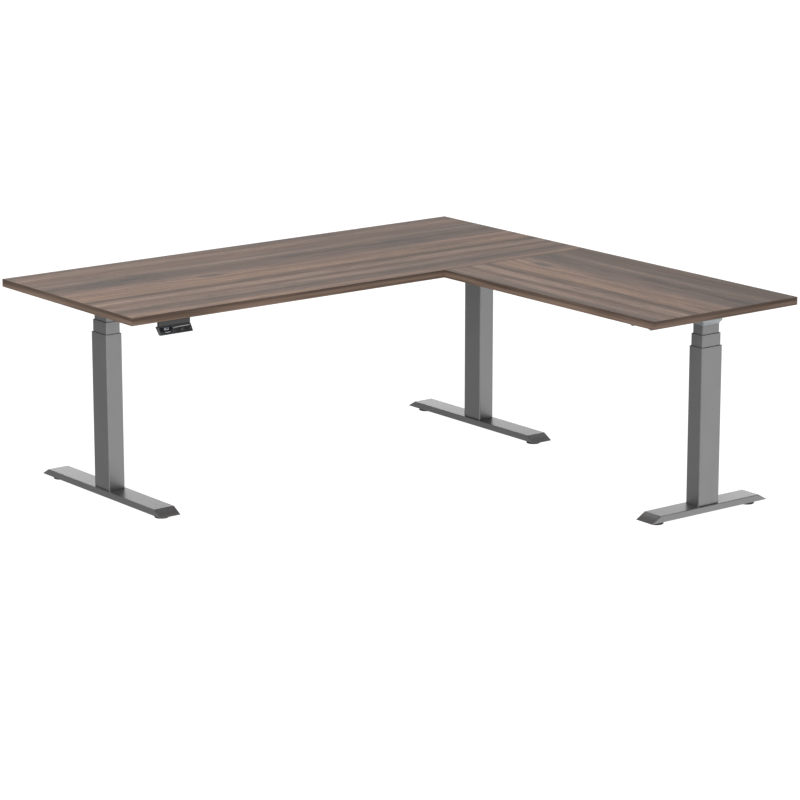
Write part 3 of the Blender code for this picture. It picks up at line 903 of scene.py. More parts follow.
def housing_mesh(leg):
    """The gearbox casing: it flares out from the inner tube, and a neck reaches to the motor."""
    low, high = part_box(f"{leg}_gear_housing")
    tube_size = node_size(f"{leg}_inner_tube")
    width, depth = sorted((tube_size.x, tube_size.y), reverse=True)
    start, first_growth = CASING_START
    levels = [(low.z, CASING_RIM)]
    for step in range(9):
        share = step / 8
        growth = first_growth + (CASING_FLARE - first_growth) * (1 - cos(pi * share)) / 2
        levels.append((low.z + start + CASING_RISE * share, growth))
    levels += [(high.z - CASING_RIM, CASING_FLARE), (high.z, CASING_FLARE - CASING_RIM)]
    outlines = [
        (rounded_rectangle(width + growth, depth + growth, CASING_CORNER + growth * 0.15), level)
        for level, growth in levels
    ]
    motor_middle = leg_matrix(leg).inverted() @ node_centre(f"{leg}_motor")
    bracket_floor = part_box(f"{leg}_side_bracket")[0].z
    near = (-NECK_WIDTH / 2, NECK_START, low.z + NECK_GAPS[0])
    far = (NECK_WIDTH / 2, motor_middle.y - MOTOR_SPAN, bracket_floor - NECK_GAPS[1])
    return worked(stacked(outlines), joined=[worked(block(near, far), bevel=NECK_EDGE)])


GLIDE_HEIGHT = 0.0095
GLIDE_SOFTNESS = 0.0012
GLIDE_COLLAR = (0.0062, 0.0022)  # radius, and height above the pad
GLIDE_STUD = (0.004, 0.027)  # radius, and the height of its tip
GRIPS = (16, 0.0016, 0.0022)  # how many, their radius, and how far above the floor they start


def glide_mesh(radius, height):
    """A levelling glide: a soft-edged pad with grips round its rim, a hexagonal collar and a stud."""
    soft = GLIDE_SOFTNESS
    rim = [(radius - soft, 0.0), (radius, soft), (radius, height - 0.0035), (radius - 0.003, height)]
    pad = turned(eased([*rim, (0.006, height)], soft), steps=64)
    collar_radius, collar_rise = GLIDE_COLLAR
    collar = extruded(circle(collar_radius, 6), height - 0.0005, height + collar_rise)
    stud_radius, tip = GLIDE_STUD
    stud = [(stud_radius, height - 0.0005), (stud_radius, tip - 0.0008), (stud_radius - 0.0007, tip)]
    number, grip_radius, grip_foot = GRIPS
    grips = []
    for step in range(number):
        turn = Matrix.Rotation(2 * pi * (step + 0.5) / number, 4, "Z")
        notch = extruded(circle(grip_radius, 12), grip_foot, 0.02)
        grips.append(placed(notch, turn @ Matrix.Translation((radius + 0.0007, 0, 0))))
    return worked(pad, joined=[collar, turned(stud, steps=24)], cut=grips)


class DESK_OT_legs(bpy.types.Operator):
    """Build the feet, the levelling glides, the columns' tubes and the gearbox casings"""

    bl_idname = "desk.legs"
    bl_label = "Legs"

    def execute(self, context):
        settings = context.scene.desk_frame
        paint = frame_paint(settings)
        casing = satin_paint("housing_paint", (0.30, 0.315, 0.325), 0.8, 0.42, 700.0)
        plastic = moulded_plastic("glide_plastic", (0.006, 0.006, 0.007), 0.6)
        bodies = {"outer": "base", "middle": "middle_stages", "inner": "top"}
        for leg in LEGS:
            stand = leg_matrix(leg)
            foot = placed(foot_mesh(leg, settings), stand)
            piece(f"{leg}_foot_bar", foot, paint, "base", (f"{leg}_foot",))
            for stage, body in bodies.items():
                tube = placed(stage_mesh(leg, stage, settings), stand)
                piece(f"{leg}_{stage}_column", tube, paint, body, (f"{leg}_{stage}_tube",))
            housing = placed(housing_mesh(leg), stand)
            node = f"{leg}_gear_housing"
            piece(f"{leg}_gear_casing", housing, casing, "top", (node,))
            for end in LEGS[leg]["ends"]:
                node = f"{leg}_glide_{end}"
                centre = node_centre(node)
                glide = glide_mesh(node_size(node).x / 2, GLIDE_HEIGHT)
                glide = shifted(glide, (centre.x, centre.y, 0))
                piece(f"{leg}_levelling_pad_{end}", glide, plastic, node, (node,))
        return {"FINISHED"}


def frame_paint(settings):
    made = bpy.data.materials.get("frame_paint_satin")
    return made or satin_paint(
        "frame_paint_satin", settings.paint, settings.paint_metallic, settings.paint_roughness, 520.0
    )


class DESK_OT_inner_works(bpy.types.Operator):
    """Give the guides, screws, nuts and spindles inside the columns their finishes"""

    bl_idname = "desk.inner_works"
    bl_label = "Inner Works"

    def execute(self, context):
        liner = moulded_plastic("liner_plastic", (0.03, 0.03, 0.032), 0.55)
        acetal = moulded_plastic("nut_acetal", (0.68, 0.66, 0.58), 0.45, 500.0, 0.1)
        steel = bright_steel("spindle_steel")
        for leg in LEGS:
            node_finish(f"{leg}_outer_guide", liner)
            node_finish(f"{leg}_middle_guide", liner)
            node_finish(f"{leg}_fixed_screw", steel)
            node_finish(f"{leg}_drive_spindle", steel)
            node_finish(f"{leg}_lift_nut", acetal)
        return {"FINISHED"}


# The frame under the boards.

BRACKET_SCREWS = (-0.25, -0.12, 0.12, 0.25)  # along a bracket, from its middle
BRACKET_SLOTS = (-0.185, 0.185)
BRACKET_SLOT = (0.03, 0.008, 0.0038)  # length, width and the radius of its ends
BRACKET_BENDS = (0.004, 0.0015)  # outer and inner
BRACKET_SLANT = 0.014
PLATE_EDGE = 0.0004
RAIL_BOLTS = (-0.075, 0.075)
JOINT_SCREWS = (0.075, 0.04)
SEAM_SCREWS = (0.018, 0.04)
DOWN = (0.0, 0.0, -1.0)


def bracket_mesh(low, high, length, width, sheet):
    """A channel with rounded bends, its flanges cut off at a slant at both ends, and two slots."""
    half = width / 2
    inside = half - sheet
    web = high - sheet
    outer = eased([(-half, low), (-half, high), (half, high), (half, low)], BRACKET_BENDS[0], 5)
    inner = eased([(inside, low), (inside, web), (-inside, web), (-inside, low)], BRACKET_BENDS[1], 3)
    channel = extruded([(up, side) for side, up in outer + inner], -length / 2, length / 2, axis="Y")
    channel = placed(channel, Matrix.Rotation(-pi / 2, 4, "Z"))
    cuts = []
    for side in (-1, 1):
        end = side * length / 2
        past = end + side * 0.001
        slant = [(low - 0.001, end - side * BRACKET_SLANT), (low - 0.001, past), (web - 0.001, past)]
        cuts.append(extruded(slant, -width, width, axis="Y"))
    for along in BRACKET_SLOTS:
        cuts.append(shifted(slab(*BRACKET_SLOT, web - sheet, high + sheet), (along, 0, 0)))
    return worked(channel, cut=cuts)


def plate_mesh(low, high, corner):
    """A flat sheet with rounded corners, between two corners of its box."""
    size = high - low
    plate = slab(size.x, size.y, corner, low.z, high.z)
    plate = worked(plate, bevel=PLATE_EDGE, bevel_steps=2, angle=60)
    return shifted(plate, ((low.x + high.x) / 2, (low.y + high.y) / 2, 0))


def corner_spots(name, reach_x, reach_y):
    """Four places on a node's underside, this far from its middle, each facing down."""
    low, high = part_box(name)
    middle = (low + high) / 2
    return [
        ((middle.x + side_x * reach_x, middle.y + side_y * reach_y, low.z), DOWN)
        for side_x in (-1, 1)
        for side_y in (-1, 1)
    ]


def rail_mesh(name, corner, wall, rim):
    """A square tube along the longer side of its node."""
    low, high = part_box(name)
    size = high - low
    middle = (low + high) / 2
    axis = "X" if size.x > size.y else "Y"
    section = (size.y, size.z) if axis == "X" else (size.z, size.x)
    reach = max(size.x, size.y) / 2
    return shifted(tube_mesh(*section, corner, wall, -reach, reach, rim, axis), middle)


class DESK_OT_under_frame(bpy.types.Operator):
    """Build the brackets, cross rails and plates under the boards, with their screws"""

    bl_idname = "desk.under_frame"
    bl_label = "Under Frame"

    def execute(self, context):
        settings = context.scene.desk_frame
        paint = frame_paint(settings)
        zinc = bright_steel("zinc_screws", (0.42, 0.42, 0.43), 0.34)
        top_screws, rail_bolts, foot_screws = [], [], []
        for leg in LEGS:
            stand = leg_matrix(leg)
            node = f"{leg}_side_bracket"
            low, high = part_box(node)
            width, length = sorted(((high - low).x, (high - low).y))
            bracket = placed(bracket_mesh(low.z, high.z, length, width, settings.sheet), stand)
            piece(f"{leg}_bracket", bracket, paint, "top", (node,))
            web = high.z - settings.sheet
            top_screws += [(stand @ Vector((along, 0, web)), DOWN) for along in BRACKET_SCREWS]
            inner_face = width / 2 - settings.sheet
            level = low.z + (high.z - low.z) * 0.42
            back = stand.to_3x3() @ Vector((0, -1, 0))
            rail_bolts += [(stand @ Vector((along, inner_face, level)), back) for along in RAIL_BOLTS]
            foot_screws += corner_spots(f"{leg}_foot", 0.022, 0.022)
        for node in ("main_rail_front", "main_rail_rear", "return_rail_left", "return_rail_right"):
            rail = rail_mesh(node, 0.003, settings.tube_wall, settings.rim_radius)
            piece(f"{node}_tube", rail, paint, "top", (node,))
        plates = {"return_joint_plate": (0.008, JOINT_SCREWS)}
        plates.update({f"seam_plate_{side}": (0.006, SEAM_SCREWS) for side in ("left", "right")})
        for node, (corner, spots) in plates.items():
            piece(f"{node}_sheet", plate_mesh(*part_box(node), corner), paint, "top", (node,))
            top_screws += corner_spots(node, *spots)
        head = settings.screw_head
        spread("frame_screws", "screw", top_screws, head, 0.003, "top", "steel", zinc)
        spread("rail_bolts", "screw", rail_bolts, 0.004, 0.0025, "top", "steel", zinc)
        spread("foot_screws", "screw", foot_screws, head, 0.0025, "base", "steel", zinc)
        return {"FINISHED"}


# The motors.

# The motor's profiles, as (radius, distance from its gearbox end) pairs.
MOTOR_CAN = (
    (0.0175, 0.0), (0.0175, 0.006), (0.0160, 0.0075), (0.0160, 0.026), (0.0156, 0.0266),
    (0.0156, 0.0284), (0.0160, 0.029), (0.0160, 0.079), (0.0156, 0.0796), (0.0156, 0.0816),
)
MOTOR_CAP = (
    (0.0163, 0.0820), (0.0173, 0.0826), (0.0175, 0.0840), (0.0175, 0.0920), (0.0167, 0.0936),
    (0.0110, 0.0946), (0.0095, 0.0952), (0.0090, 0.0960), (0.0090, 0.0992), (0.0084, 0.1000),
)


BRUSH_SLOTS = (8, (-0.0016, 0.0845, 0.0168), (0.0016, 0.0915, 0.019))  # how many, and one's corners
MOTOR_SOCKET = ((-0.005, 0.0935, -0.0155), (0.005, 0.0999, -0.0102))
MOTOR_BEARING = ((0.0045, 0.0985), (0.0045, 0.102))


def motor_meshes(centre_z, start):
    """The steel can, and the end cap with its brush slots, in the leg's own frame."""
    lift = Matrix.Translation((0, start, centre_z))
    can = placed(turned(MOTOR_CAN, axis="Y"), lift)
    number, *corners = BRUSH_SLOTS
    turns = [Matrix.Rotation(2 * pi * step / number, 4, "Y") for step in range(number)]
    slots = [placed(block(*corners), turn) for turn in turns]
    socket = worked(block(*MOTOR_SOCKET), bevel=0.0006)
    bearing = turned(MOTOR_BEARING, axis="Y", steps=24)
    cap = worked(turned(MOTOR_CAP, axis="Y"), joined=[socket], cut=[*slots, bearing])
    return can, placed(cap, lift)


class DESK_OT_motors(bpy.types.Operator):
    """Build the three lift motors"""

    bl_idname = "desk.motors"
    bl_label = "Motors"

    def execute(self, context):
        coat = satin_paint("motor_coat", (0.05, 0.05, 0.054), 0.75, 0.36, 600.0)
        cap_plastic = moulded_plastic("motor_cap_plastic", (0.02, 0.02, 0.021), 0.48)
        steel = bpy.data.materials["zinc_screws"]
        cap_screws = []
        for leg in LEGS:
            stand = leg_matrix(leg)
            node = f"{leg}_motor"
            centre = stand.inverted() @ node_centre(node)
            length = max(node_size(node))
            start = centre.y - length / 2
            can, cap = motor_meshes(centre.z, start)
            piece(f"{leg}_motor_can", placed(can, stand), coat, "top", (node,))
            piece(f"{leg}_motor_cap", placed(cap, stand), cap_plastic, "top", (node,))
            out = stand.to_3x3() @ Vector((0, 1, 0))
            for side in (-1, 1):
                place = stand @ Vector((side * 0.0125, start + 0.0943, centre.z))
                cap_screws.append((place, out))
        spread("motor_screws", "screw", cap_screws, 0.002, 0.0014, "top", "steel", steel)
        return {"FINISHED"}


# The control box.

SOCKETS_X = (-0.09, -0.045, 0.0, 0.045)  # from the box's middle
SOCKET = (0.018, 0.012, 0.012)  # width, height and depth
SOCKET_LIFT = 0.008
EAR = (0.016, 0.030, 0.003)  # how far an ear stands out, its width and its thickness
INLET_MOUTH = (0.024, 0.015)
BOX_CORNER = 0.006
AIR_SLOTS = (18, 0.012)  # how many, and how far apart
AIR_SLOT = (0.014, 0.003, 0.0014)  # height, width and the radius of its ends
LID_GROOVES = (9, 0.016)  # how many, and how far apart
LID_GROOVE = (0.004, 0.05, 0.0018)


def control_case_mesh(low, high):
    """The box with its fixing ears, its sockets, and a row of air slots along the rear."""
    middle = (low + high) / 2
    reach, ear_width, ear_thickness = EAR
    width = (high - low).x - 2 * reach
    depth = (high - low).y
    shell = worked(slab(width, depth, BOX_CORNER, low.z, high.z), bevel=0.0008, bevel_steps=2, angle=60)
    ears = slab(width + 2 * reach, ear_width, BOX_CORNER, high.z - ear_thickness, high.z)
    ears = worked(ears, bevel=PLATE_EDGE, bevel_steps=2, angle=60)
    cuts = []
    socket_width, socket_height, socket_depth = SOCKET
    for along in SOCKETS_X:
        near = (along - socket_width / 2, -depth, low.z + SOCKET_LIFT)
        far = (along + socket_width / 2, socket_depth - depth / 2, low.z + SOCKET_LIFT + socket_height)
        cuts.append(block(near, far))
    number, pitch = AIR_SLOTS
    for step in range(number):
        along = (step - (number - 1) / 2) * pitch
        outline = [(up, along + side) for up, side in rounded_rectangle(*AIR_SLOT, 4)]
        slot = extruded(outline, depth / 2 - 0.0015, depth)
        cuts.append(shifted(slot, (0, 0, middle.z)))
    return shifted(worked(shell, joined=[ears], cut=cuts), (middle.x, middle.y, 0))


def lid_mesh(low, high):
    """The lid, with eased edges and shallow grooves across it."""
    size = high - low
    levels = ((low.z, 0.005), (low.z + 0.0012, 0.0012), (low.z + 0.002, 0.0), (high.z, 0.0))
    outlines = [
        (rounded_rectangle(size.x - inset, size.y - inset, BOX_CORNER), level) for level, inset in levels
    ]
    number, pitch = LID_GROOVES
    grooves = []
    for step in range(number):
        groove = slab(*LID_GROOVE, low.z - 0.001, low.z + 0.0012)
        grooves.append(shifted(groove, ((step - (number - 1) / 2) * pitch, 0, 0)))
    middle = (low + high) / 2
    return shifted(worked(stacked(outlines), cut=grooves), (middle.x, middle.y, 0))


def inlet_mesh(low, high):
    """The mains inlet's shell, with its mouth towards -X."""
    size = high - low
    corner = 0.003
    shell = slab(size.y, size.z, corner, -size.x / 2, size.x / 2, axis="X")
    shell = worked(shell, bevel=0.0006, bevel_steps=2, angle=60)
    mouth = slab(*INLET_MOUTH, corner, 0.002 - size.x / 2, size.x, axis="X")
    return shifted(worked(shell, cut=[mouth]), (low + high) / 2)


class DESK_OT_control_box(bpy.types.Operator):
    """Build the control box with its lid, sockets, mains inlet, pins and screws"""

    bl_idname = "desk.control_box"
    bl_label = "Control Box"

    def execute(self, context):
        plastic = moulded_plastic("control_plastic", (0.021, 0.021, 0.022), 0.52)
        steel = bpy.data.materials["zinc_screws"]
        brass = bright_steel("pin_plating", (0.62, 0.52, 0.30), 0.28)
        low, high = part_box("control_box_case")
        case = control_case_mesh(low, high)
        piece("control_box_shell", case, plastic, "top", ("control_box_case",))
        lid_low, lid_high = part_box("control_box_lid")
        lid = lid_mesh(lid_low, lid_high)
        piece("control_box_cover", lid, plastic, "top", ("control_box_lid",))
        inlet_low, inlet_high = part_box("power_inlet")
        inlet = inlet_mesh(inlet_low, inlet_high)
        piece("power_inlet_shell", inlet, plastic, "top", ("power_inlet",))

        middle = (low + high) / 2
        floor_y = low.y + SOCKET[2]
        pins = []
        for along in SOCKETS_X:
            for side_x in (-0.0045, -0.0015, 0.0015, 0.0045):
                for side_z in (-0.0018, 0.0018):
                    height = low.z + SOCKET_LIFT + SOCKET[1] / 2 + side_z
                    pins.append(((middle.x + along + side_x, floor_y, height), (0.0, -1.0, 0.0)))
        spread("socket_pins", "pin", pins, 0.0005, 0.008, "top", "steel", brass)
        blades = []
        inlet_middle = (inlet_low + inlet_high) / 2
        for side, lift in ((-0.007, -0.0015), (0.0, 0.0025), (0.007, -0.0015)):
            place = Vector((inlet_low.x + 0.0015, inlet_middle.y + side, inlet_middle.z + lift))
            blade = block((0, -0.001, -0.002), (0.0055, 0.001, 0.002))
            blades.append(shifted(worked(blade, bevel=0.0003, bevel_steps=2), place))
        piece("power_inlet_blades", merged(blades), brass, "top")

        ear_x = (high.x - low.x) / 2 - EAR[0] / 2
        ear_screws = [((middle.x + side * ear_x, middle.y, high.z - EAR[2]), DOWN) for side in (-1, 1)]
        spread("control_box_screws", "screw", ear_screws, 0.004, 0.0024, "top", "steel", steel)
        lid_reach = (lid_high - lid_low) / 2
        spots = corner_spots("control_box_lid", lid_reach.x - 0.009, lid_reach.y - 0.009)
        spread("lid_screws", "screw", spots, 0.0024, 0.0009, "top", "steel", steel)
        lamp = turned([(0.0015, 0.0), (0.0015, 0.0006), (0.0009, 0.0010)], axis="Y", steps=24)
        lamp = placed(lamp, Matrix.Rotation(pi, 4, "Z"))
        lamp = shifted(lamp, (middle.x + 0.075, low.y, low.z + SOCKET_LIFT + SOCKET[1] / 2))
        piece("power_lamp", lamp, glowing("lamp_green", (0.05, 0.5, 0.12), 1.2), "top")
        return {"FINISHED"}


# The hand controller.

# A digit's bars: middle across and up in half widths and half heights, and whether the bar stands upright.
BARS = {
    "top": (0, 1, False),
    "middle": (0, 0, False),
    "bottom": (0, -1, False),
    "upper_left": (-1, 0.5, True),
    "upper_right": (1, 0.5, True),
    "lower_left": (-1, -0.5, True),
    "lower_right": (1, -0.5, True),
}
# The bars that are dark in each digit.
DARK_BARS = {
    "0": ("middle",),
    "1": ("top", "middle", "bottom", "upper_left", "lower_left"),
    "2": ("upper_left", "lower_right"),
    "3": ("upper_left", "lower_left"),
    "4": ("top", "bottom", "lower_left"),
    "5": ("upper_right", "lower_left"),
    "6": ("upper_right",),
    "7": ("middle", "bottom", "upper_left", "lower_left"),
    "8": (),
    "9": ("lower_left",),
}
MARK_LIFT = 0.00012  # how thick a lit mark is


KEY_CORNER = 0.002
KEY_GAP = 0.0003  # round each key and the window
KEY_ROOM = 0.0012  # below each key, for its travel
ARROW = ((-0.0017, -0.0009), (0.0, 0.0013), (0.0017, -0.0009), (0.0, -0.0002))
HIGHLIGHT_STRIP_HALF = 0.0011  # half the width of the bright silver strip, a painted highlight
HIGHLIGHT_STRIP_LEVELS = (-0.0004, 0.0003)  # its back and its front, from the controller's face


def face_frame():
    """The controller's sloping front: X along it, Y up it, Z out of it, and the origin in its surface."""
    faces = [face for face in NODES["display_window"].data.polygons if face.normal.z > 0]
    outward = max(faces, key=lambda face: face.area).normal.copy()
    across = Vector((1, 0, 0))
    case = NODES["controller_case"].data.vertices
    level = max(vertex.co.dot(outward) for vertex in case)
    matrix = Matrix((across, outward.cross(across), outward)).transposed().to_4x4()
    matrix.translation = outward * level
    return matrix


def face_span(name, face):
    """A node's low and high corners in the face's frame."""
    back = face.inverted()
    points = [back @ vertex.co for vertex in NODES[name].data.vertices]
    low = Vector([min(point[axis] for point in points) for axis in range(3)])
    high = Vector([max(point[axis] for point in points) for axis in range(3)])
    return low, high


def mark(outline, level):
    return extruded(outline, level, level + MARK_LIFT)


def digit_marks(digit, left, low, height, level):
    """The lit bars of one digit, leaning a little."""
    width = height * 0.5
    thick = height * 0.12
    marks = []
    for name, (across, up, upright) in BARS.items():
        if name in DARK_BARS[digit]:
            continue
        reach = (height / 4 if upright else width / 2) - thick * 0.62
        outline = [(reach, -thick / 2), (reach + thick / 2, 0), (reach, thick / 2)]
        outline += [(-x, -y) for x, y in outline]
        if upright:
            outline = [(-y, x) for x, y in outline]
        middle_x = left + width / 2 + across * width / 2
        middle_y = low + height / 2 + up * height / 2
        points = [(middle_x + x + (middle_y + y - low) * 0.10, middle_y + y) for x, y in outline]
        marks.append(mark(points, level))
    return marks


def case_profile(face, base_depth):
    """The controller's side view as (y, z) corners."""
    low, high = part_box("controller_case")
    outward = face.to_3x3().col[2]
    level = face.translation.dot(outward)
    front = [((level - outward.z * z) / outward.y, z) for z in (low.z, high.z)]
    return [front[0], front[1], (high.y, high.z), (front[0][0] + base_depth, low.z)]


def key_mesh(low, high, edge):
    """A key cap with rounded corners and an eased top edge."""
    size = high - low
    levels = ((0.0, low.z), (0.0, high.z - edge), (edge * 0.4, high.z - edge * 0.3), (edge, high.z))
    outlines = [
        (rounded_rectangle(size.x - 2 * inset, size.y - 2 * inset, KEY_CORNER), level)
        for inset, level in levels
    ]
    middle = (low + high) / 2
    return shifted(stacked(outlines), (middle.x, middle.y, 0))


def highlight_strip_mesh(low, high, right):
    """A thin bright silver strip that runs over the two travel keys, lower at its left end: a painted
    highlight along the upper edge of the key area.
    """
    steps = 24
    rows = []
    for step in range(steps + 1):
        share = step / steps
        x = low.x - 0.004 + share * (right - low.x + 0.006)
        y = high.y + 0.0010 + 0.0018 * sin(pi * min(share * 1.6, 1.0) / 2)
        half = HIGHLIGHT_STRIP_HALF * min(1.0, 0.3 + 4 * share, 0.3 + 4 * (1 - share))
        back, front = HIGHLIGHT_STRIP_LEVELS
        rows.append([(x, y - half, back), (x, y + half, back), (x, y + half, front), (x, y - half, front)])
    return loft(rows)


class DESK_OT_controller(bpy.types.Operator):
    """Build the hand controller with its display, keys and lit marks"""

    bl_idname = "desk.controller"
    bl_label = "Hand Controller"

    def execute(self, context):
        settings = context.scene.desk_controls
        plastic = moulded_plastic("controller_plastic", (0.018, 0.018, 0.019), 0.42)
        key_plastic = moulded_plastic("key_plastic_satin", (0.012, 0.012, 0.013), 0.30, 1200.0, 0.08)
        glass = moulded_plastic("window_gloss", (0.006, 0.006, 0.008), 0.09, 300.0, 0.01)
        white = glowing("display_white", (0.80, 0.84, 0.88), settings.glow)
        face = face_frame()

        low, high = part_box("controller_mount")
        mount = slab((high - low).x, (high - low).y, 0.004, low.z, high.z)
        mount = worked(mount, bevel=0.001, bevel_steps=3, angle=60)
        middle = (low + high) / 2
        mount = shifted(mount, (middle.x, middle.y, 0))
        piece("controller_bracket", mount, plastic, "top", ("controller_mount",))

        low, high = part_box("controller_case")
        side = case_profile(face, settings.base_depth)
        case = worked(extruded(side, low.x, high.x, axis="X"), bevel=settings.case_edge, bevel_steps=5)
        pockets = []
        for name in ("display_window", "memory_key", "up_key", "down_key"):
            near, far = face_span(name, face)
            width, height = far.x - near.x + 2 * KEY_GAP, far.y - near.y + 2 * KEY_GAP
            floor = near.z - KEY_GAP - (0.0 if name == "display_window" else KEY_ROOM)
            pocket = slab(width, height, KEY_CORNER + KEY_GAP, floor, 0.01)
            pocket = shifted(pocket, ((near.x + far.x) / 2, (near.y + far.y) / 2, 0))
            pockets.append(placed(pocket, face))
        case = worked(case, cut=pockets)
        piece("controller_shell", case, plastic, "top", ("controller_case",))

        near, far = face_span("display_window", face)
        cover = key_mesh(near, far, 0.0002)
        piece("display_cover", placed(cover, face), glass, "top", ("display_window",))
        marks = []
        pen = near.x + 0.0155
        digit_low = near.y + (far.y - near.y - settings.digit_height) * 0.62
        for letter in settings.reading:
            if letter in DARK_BARS:
                marks += digit_marks(letter, pen, digit_low, settings.digit_height, far.z)
                pen += settings.digit_height * 0.85
            else:
                dot = [(pen + x, digit_low + y) for x, y in circle(0.0006, 16)]
                marks.append(mark(dot, far.z))
                pen += settings.digit_height * 0.22
        piece("display_digits", placed(merged(marks), face), white, "top")

        # A painted highlight: a bright silver strip where the edge above the travel keys catches the light.
        highlight_strip = placed(highlight_strip_mesh(*face_span("up_key", face), face_span("down_key", face)[1].x), face)
        satin = bright_steel("painted_highlight_silver", (0.86, 0.87, 0.88), 0.38)
        piece("controller_painted_highlight", highlight_strip, satin, "top")

        icons = {"memory_key": None, "up_key": 1, "down_key": -1}
        for name, direction in icons.items():
            near, far = face_span(name, face)
            cap = placed(key_mesh(near, far, 0.0006), face)
            piece(f"{name}_cap", cap, key_plastic, name, (name,))
            middle = (near + far) / 2
            if direction:
                spot = (far.x - 0.0035, middle.y - 0.0010)
                shape = [(x, y * direction) for x, y in ARROW]
            else:
                spot = (middle.x + 0.002, middle.y + 0.0012)
                shape = rounded_rectangle(0.018, 0.001, 0.0004)
            outline = [(spot[0] + x, spot[1] + y) for x, y in shape]
            piece(f"{name}_mark", placed(mark(outline, far.z), face), white, name)
        return {"FINISHED"}


# The stage.

CAMERA_PLACE = Vector((-6.0302, -7.7904, 2.6965))
CAMERA_YAW = radians(37.8413)  # from +Y towards +X
CAMERA_PITCH = radians(13.6723)  # below the horizon
CAMERA_LENS = 144.18
FLOOR_REACH = 60.0
FLOOR_SHARE = 0.12  # how much of its colour the floor reflects, the rest being its own light


class DESK_OT_stage(bpy.types.Operator):
    """Set up the camera, the studio floor, the white surround and the soft lights"""

    bl_idname = "desk.stage"
    bl_label = "Stage"

    def execute(self, context):
        scene = context.scene
        settings = scene.desk_stage
        camera_data = bpy.data.cameras.new("camera")
        camera_data.lens = CAMERA_LENS
        camera_data.clip_end = 200.0
        camera = added("camera", camera_data)
        camera.location = CAMERA_PLACE
        camera.rotation_euler = Euler((pi / 2 - CAMERA_PITCH, 0.0, -CAMERA_YAW))
        scene.camera = camera
        scene.view_settings.view_transform = "Standard"

        floor_mesh = bpy.data.meshes.new("floor")
        sides = ((-1, -1), (1, -1), (1, 1), (-1, 1))
        corners = [(x * FLOOR_REACH, y * FLOOR_REACH, 0) for x, y in sides]
        floor_mesh.from_pydata(corners, [], [(0, 1, 2, 3)])
        floor_finish = Finish("floor_paint", Roughness=0.8, Specular_IOR_Level=0.0)
        cloud = floor_finish.noise(floor_finish.coordinates(), 0.7, 2.0)
        pale = floor_finish.brighten((*settings.floor_colour,), 0.995 + cloud * 0.01)
        shade = floor_finish.brighten(pale, FLOOR_SHARE)
        floor_finish.set(Base_Color=shade, Emission_Color=pale, Emission_Strength=settings.floor_glow)
        floor_mesh.materials.append(floor_finish.material)
        floor = added("floor", floor_mesh)
        floor.visible_glossy = False

        scene.world = surround(settings)
        sunlight("top_light", settings.top_strength, settings.top_spread, (-0.10, -0.15, 1.0))
        softbox("key_light", settings.key_place, (0.0, 0.0, 0.35), settings.key_size, settings.key_power)
        return {"FINISHED"}


def surround(settings):
    """A dim room with a bright backdrop behind the desk, and a paler ground to the front than to the left."""
    world = bpy.data.worlds.new("surround")
    world.use_nodes = True
    tree = world.node_tree

    direction = tree_node(tree, "ShaderNodeTexCoord").outputs["Generated"]
    height = tree_node(tree, "ShaderNodeSeparateXYZ", None, {"Vector": direction}).outputs["Z"]

    def towards(x, y):
        inputs = {0: direction, 1: (x, y, 0.0)}
        made = tree_node(tree, "ShaderNodeVectorMath", {"operation": "DOT_PRODUCT"}, inputs)
        return made.outputs["Value"]

    def ease(item, start, end, low=0.0, high=1.0):
        smooth = {"interpolation_type": "SMOOTHSTEP"}
        inputs = {"Value": item, "From Min": start, "From Max": end, "To Min": low, "To Max": high}
        return Value(tree, tree_node(tree, "ShaderNodeMapRange", smooth, inputs).outputs[0])

    behind = ease(towards(sin(CAMERA_YAW), cos(CAMERA_YAW)), 0.25, 0.85)
    backdrop = behind * ease(height, 0.55, 0.30) * ease(height, -0.10, 0.05)
    front = ease(towards(sin(CAMERA_YAW), -cos(CAMERA_YAW)), -0.6, 0.8, settings.low_left, settings.low_front)
    glow = backdrop * settings.backdrop + front * ease(height, 0.02, -0.08) + settings.room
    background = tree.nodes["Background"]
    background.inputs["Color"].default_value = (1.0, 1.0, 1.0, 1.0)
    feed(tree, background.inputs["Strength"], glow)
    return world


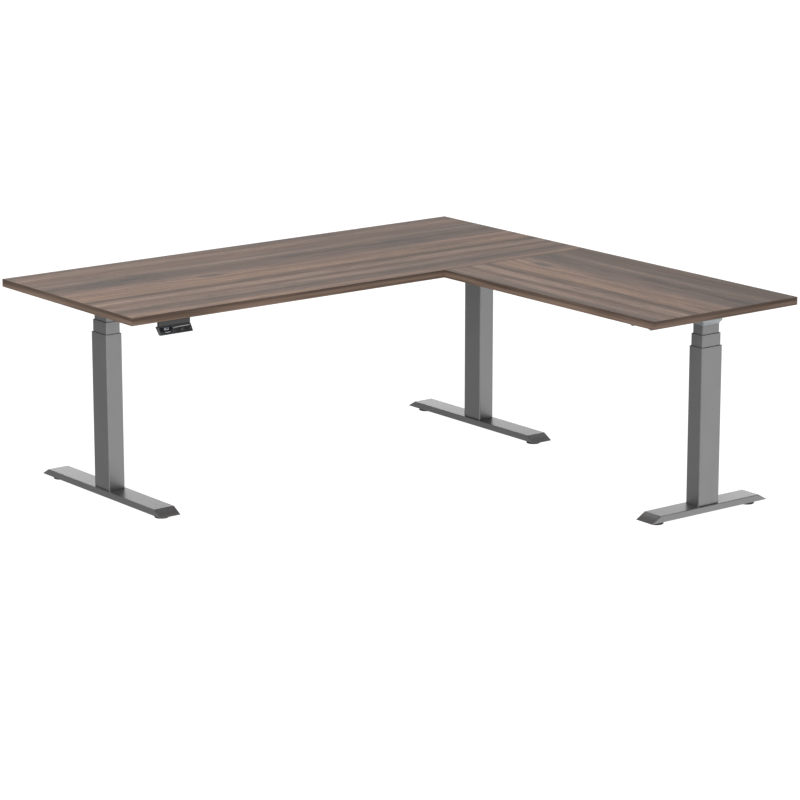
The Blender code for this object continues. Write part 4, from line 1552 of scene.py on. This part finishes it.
def sunlight(name, strength, spread, towards):
    data = bpy.data.lights.new(name, "SUN")
    data.energy = strength
    data.angle = spread
    added(name, data).rotation_euler = Vector(towards).to_track_quat("Z", "Y").to_euler()


def softbox(name, place, target, size, power):
    data = bpy.data.lights.new(name, "AREA")
    data.size = size
    data.energy = power
    light = added(name, data)
    light.location = place
    light.rotation_euler = (Vector(target) - Vector(place)).to_track_quat("-Z", "Y").to_euler()


class DESK_PT_finish(bpy.types.Panel):
    bl_label = "Standing Desk"
    bl_idname = "DESK_PT_finish"
    bl_space_type = "VIEW_3D"
    bl_region_type = "UI"
    bl_category = "Desk"

    def draw(self, context):
        for scene_name in SETTINGS:
            settings = getattr(context.scene, scene_name)
            box = self.layout.box()
            for name in settings.bl_rna.properties.keys():
                if name not in ("rna_type", "name"):
                    box.prop(settings, name)
        for operator in OPERATORS:
            self.layout.operator(operator.bl_idname)


OPERATORS = (
    DESK_OT_boards,
    DESK_OT_legs,
    DESK_OT_inner_works,
    DESK_OT_under_frame,
    DESK_OT_motors,
    DESK_OT_control_box,
    DESK_OT_controller,
    DESK_OT_stage,
)
SETTINGS = {
    "desk_boards": BoardSettings,
    "desk_frame": FrameSettings,
    "desk_controls": ControlSettings,
    "desk_stage": StageSettings,
}


def register():
    for settings in SETTINGS.values():
        bpy.utils.register_class(settings)
    for name, settings in SETTINGS.items():
        setattr(bpy.types.Scene, name, bpy.props.PointerProperty(type=settings))
    for operator in (*OPERATORS, DESK_PT_finish):
        bpy.utils.register_class(operator)


def unregister():
    for operator in reversed((*OPERATORS, DESK_PT_finish)):
        bpy.utils.unregister_class(operator)
    for name, settings in SETTINGS.items():
        delattr(bpy.types.Scene, name)
        bpy.utils.unregister_class(settings)


def main():
    register()
    bpy.ops.desk.boards()
    bpy.ops.desk.legs()
    bpy.ops.desk.inner_works()
    bpy.ops.desk.under_frame()
    bpy.ops.desk.motors()
    bpy.ops.desk.control_box()
    bpy.ops.desk.controller()
    bpy.ops.desk.stage()


if __name__ == "__main__":
    main()
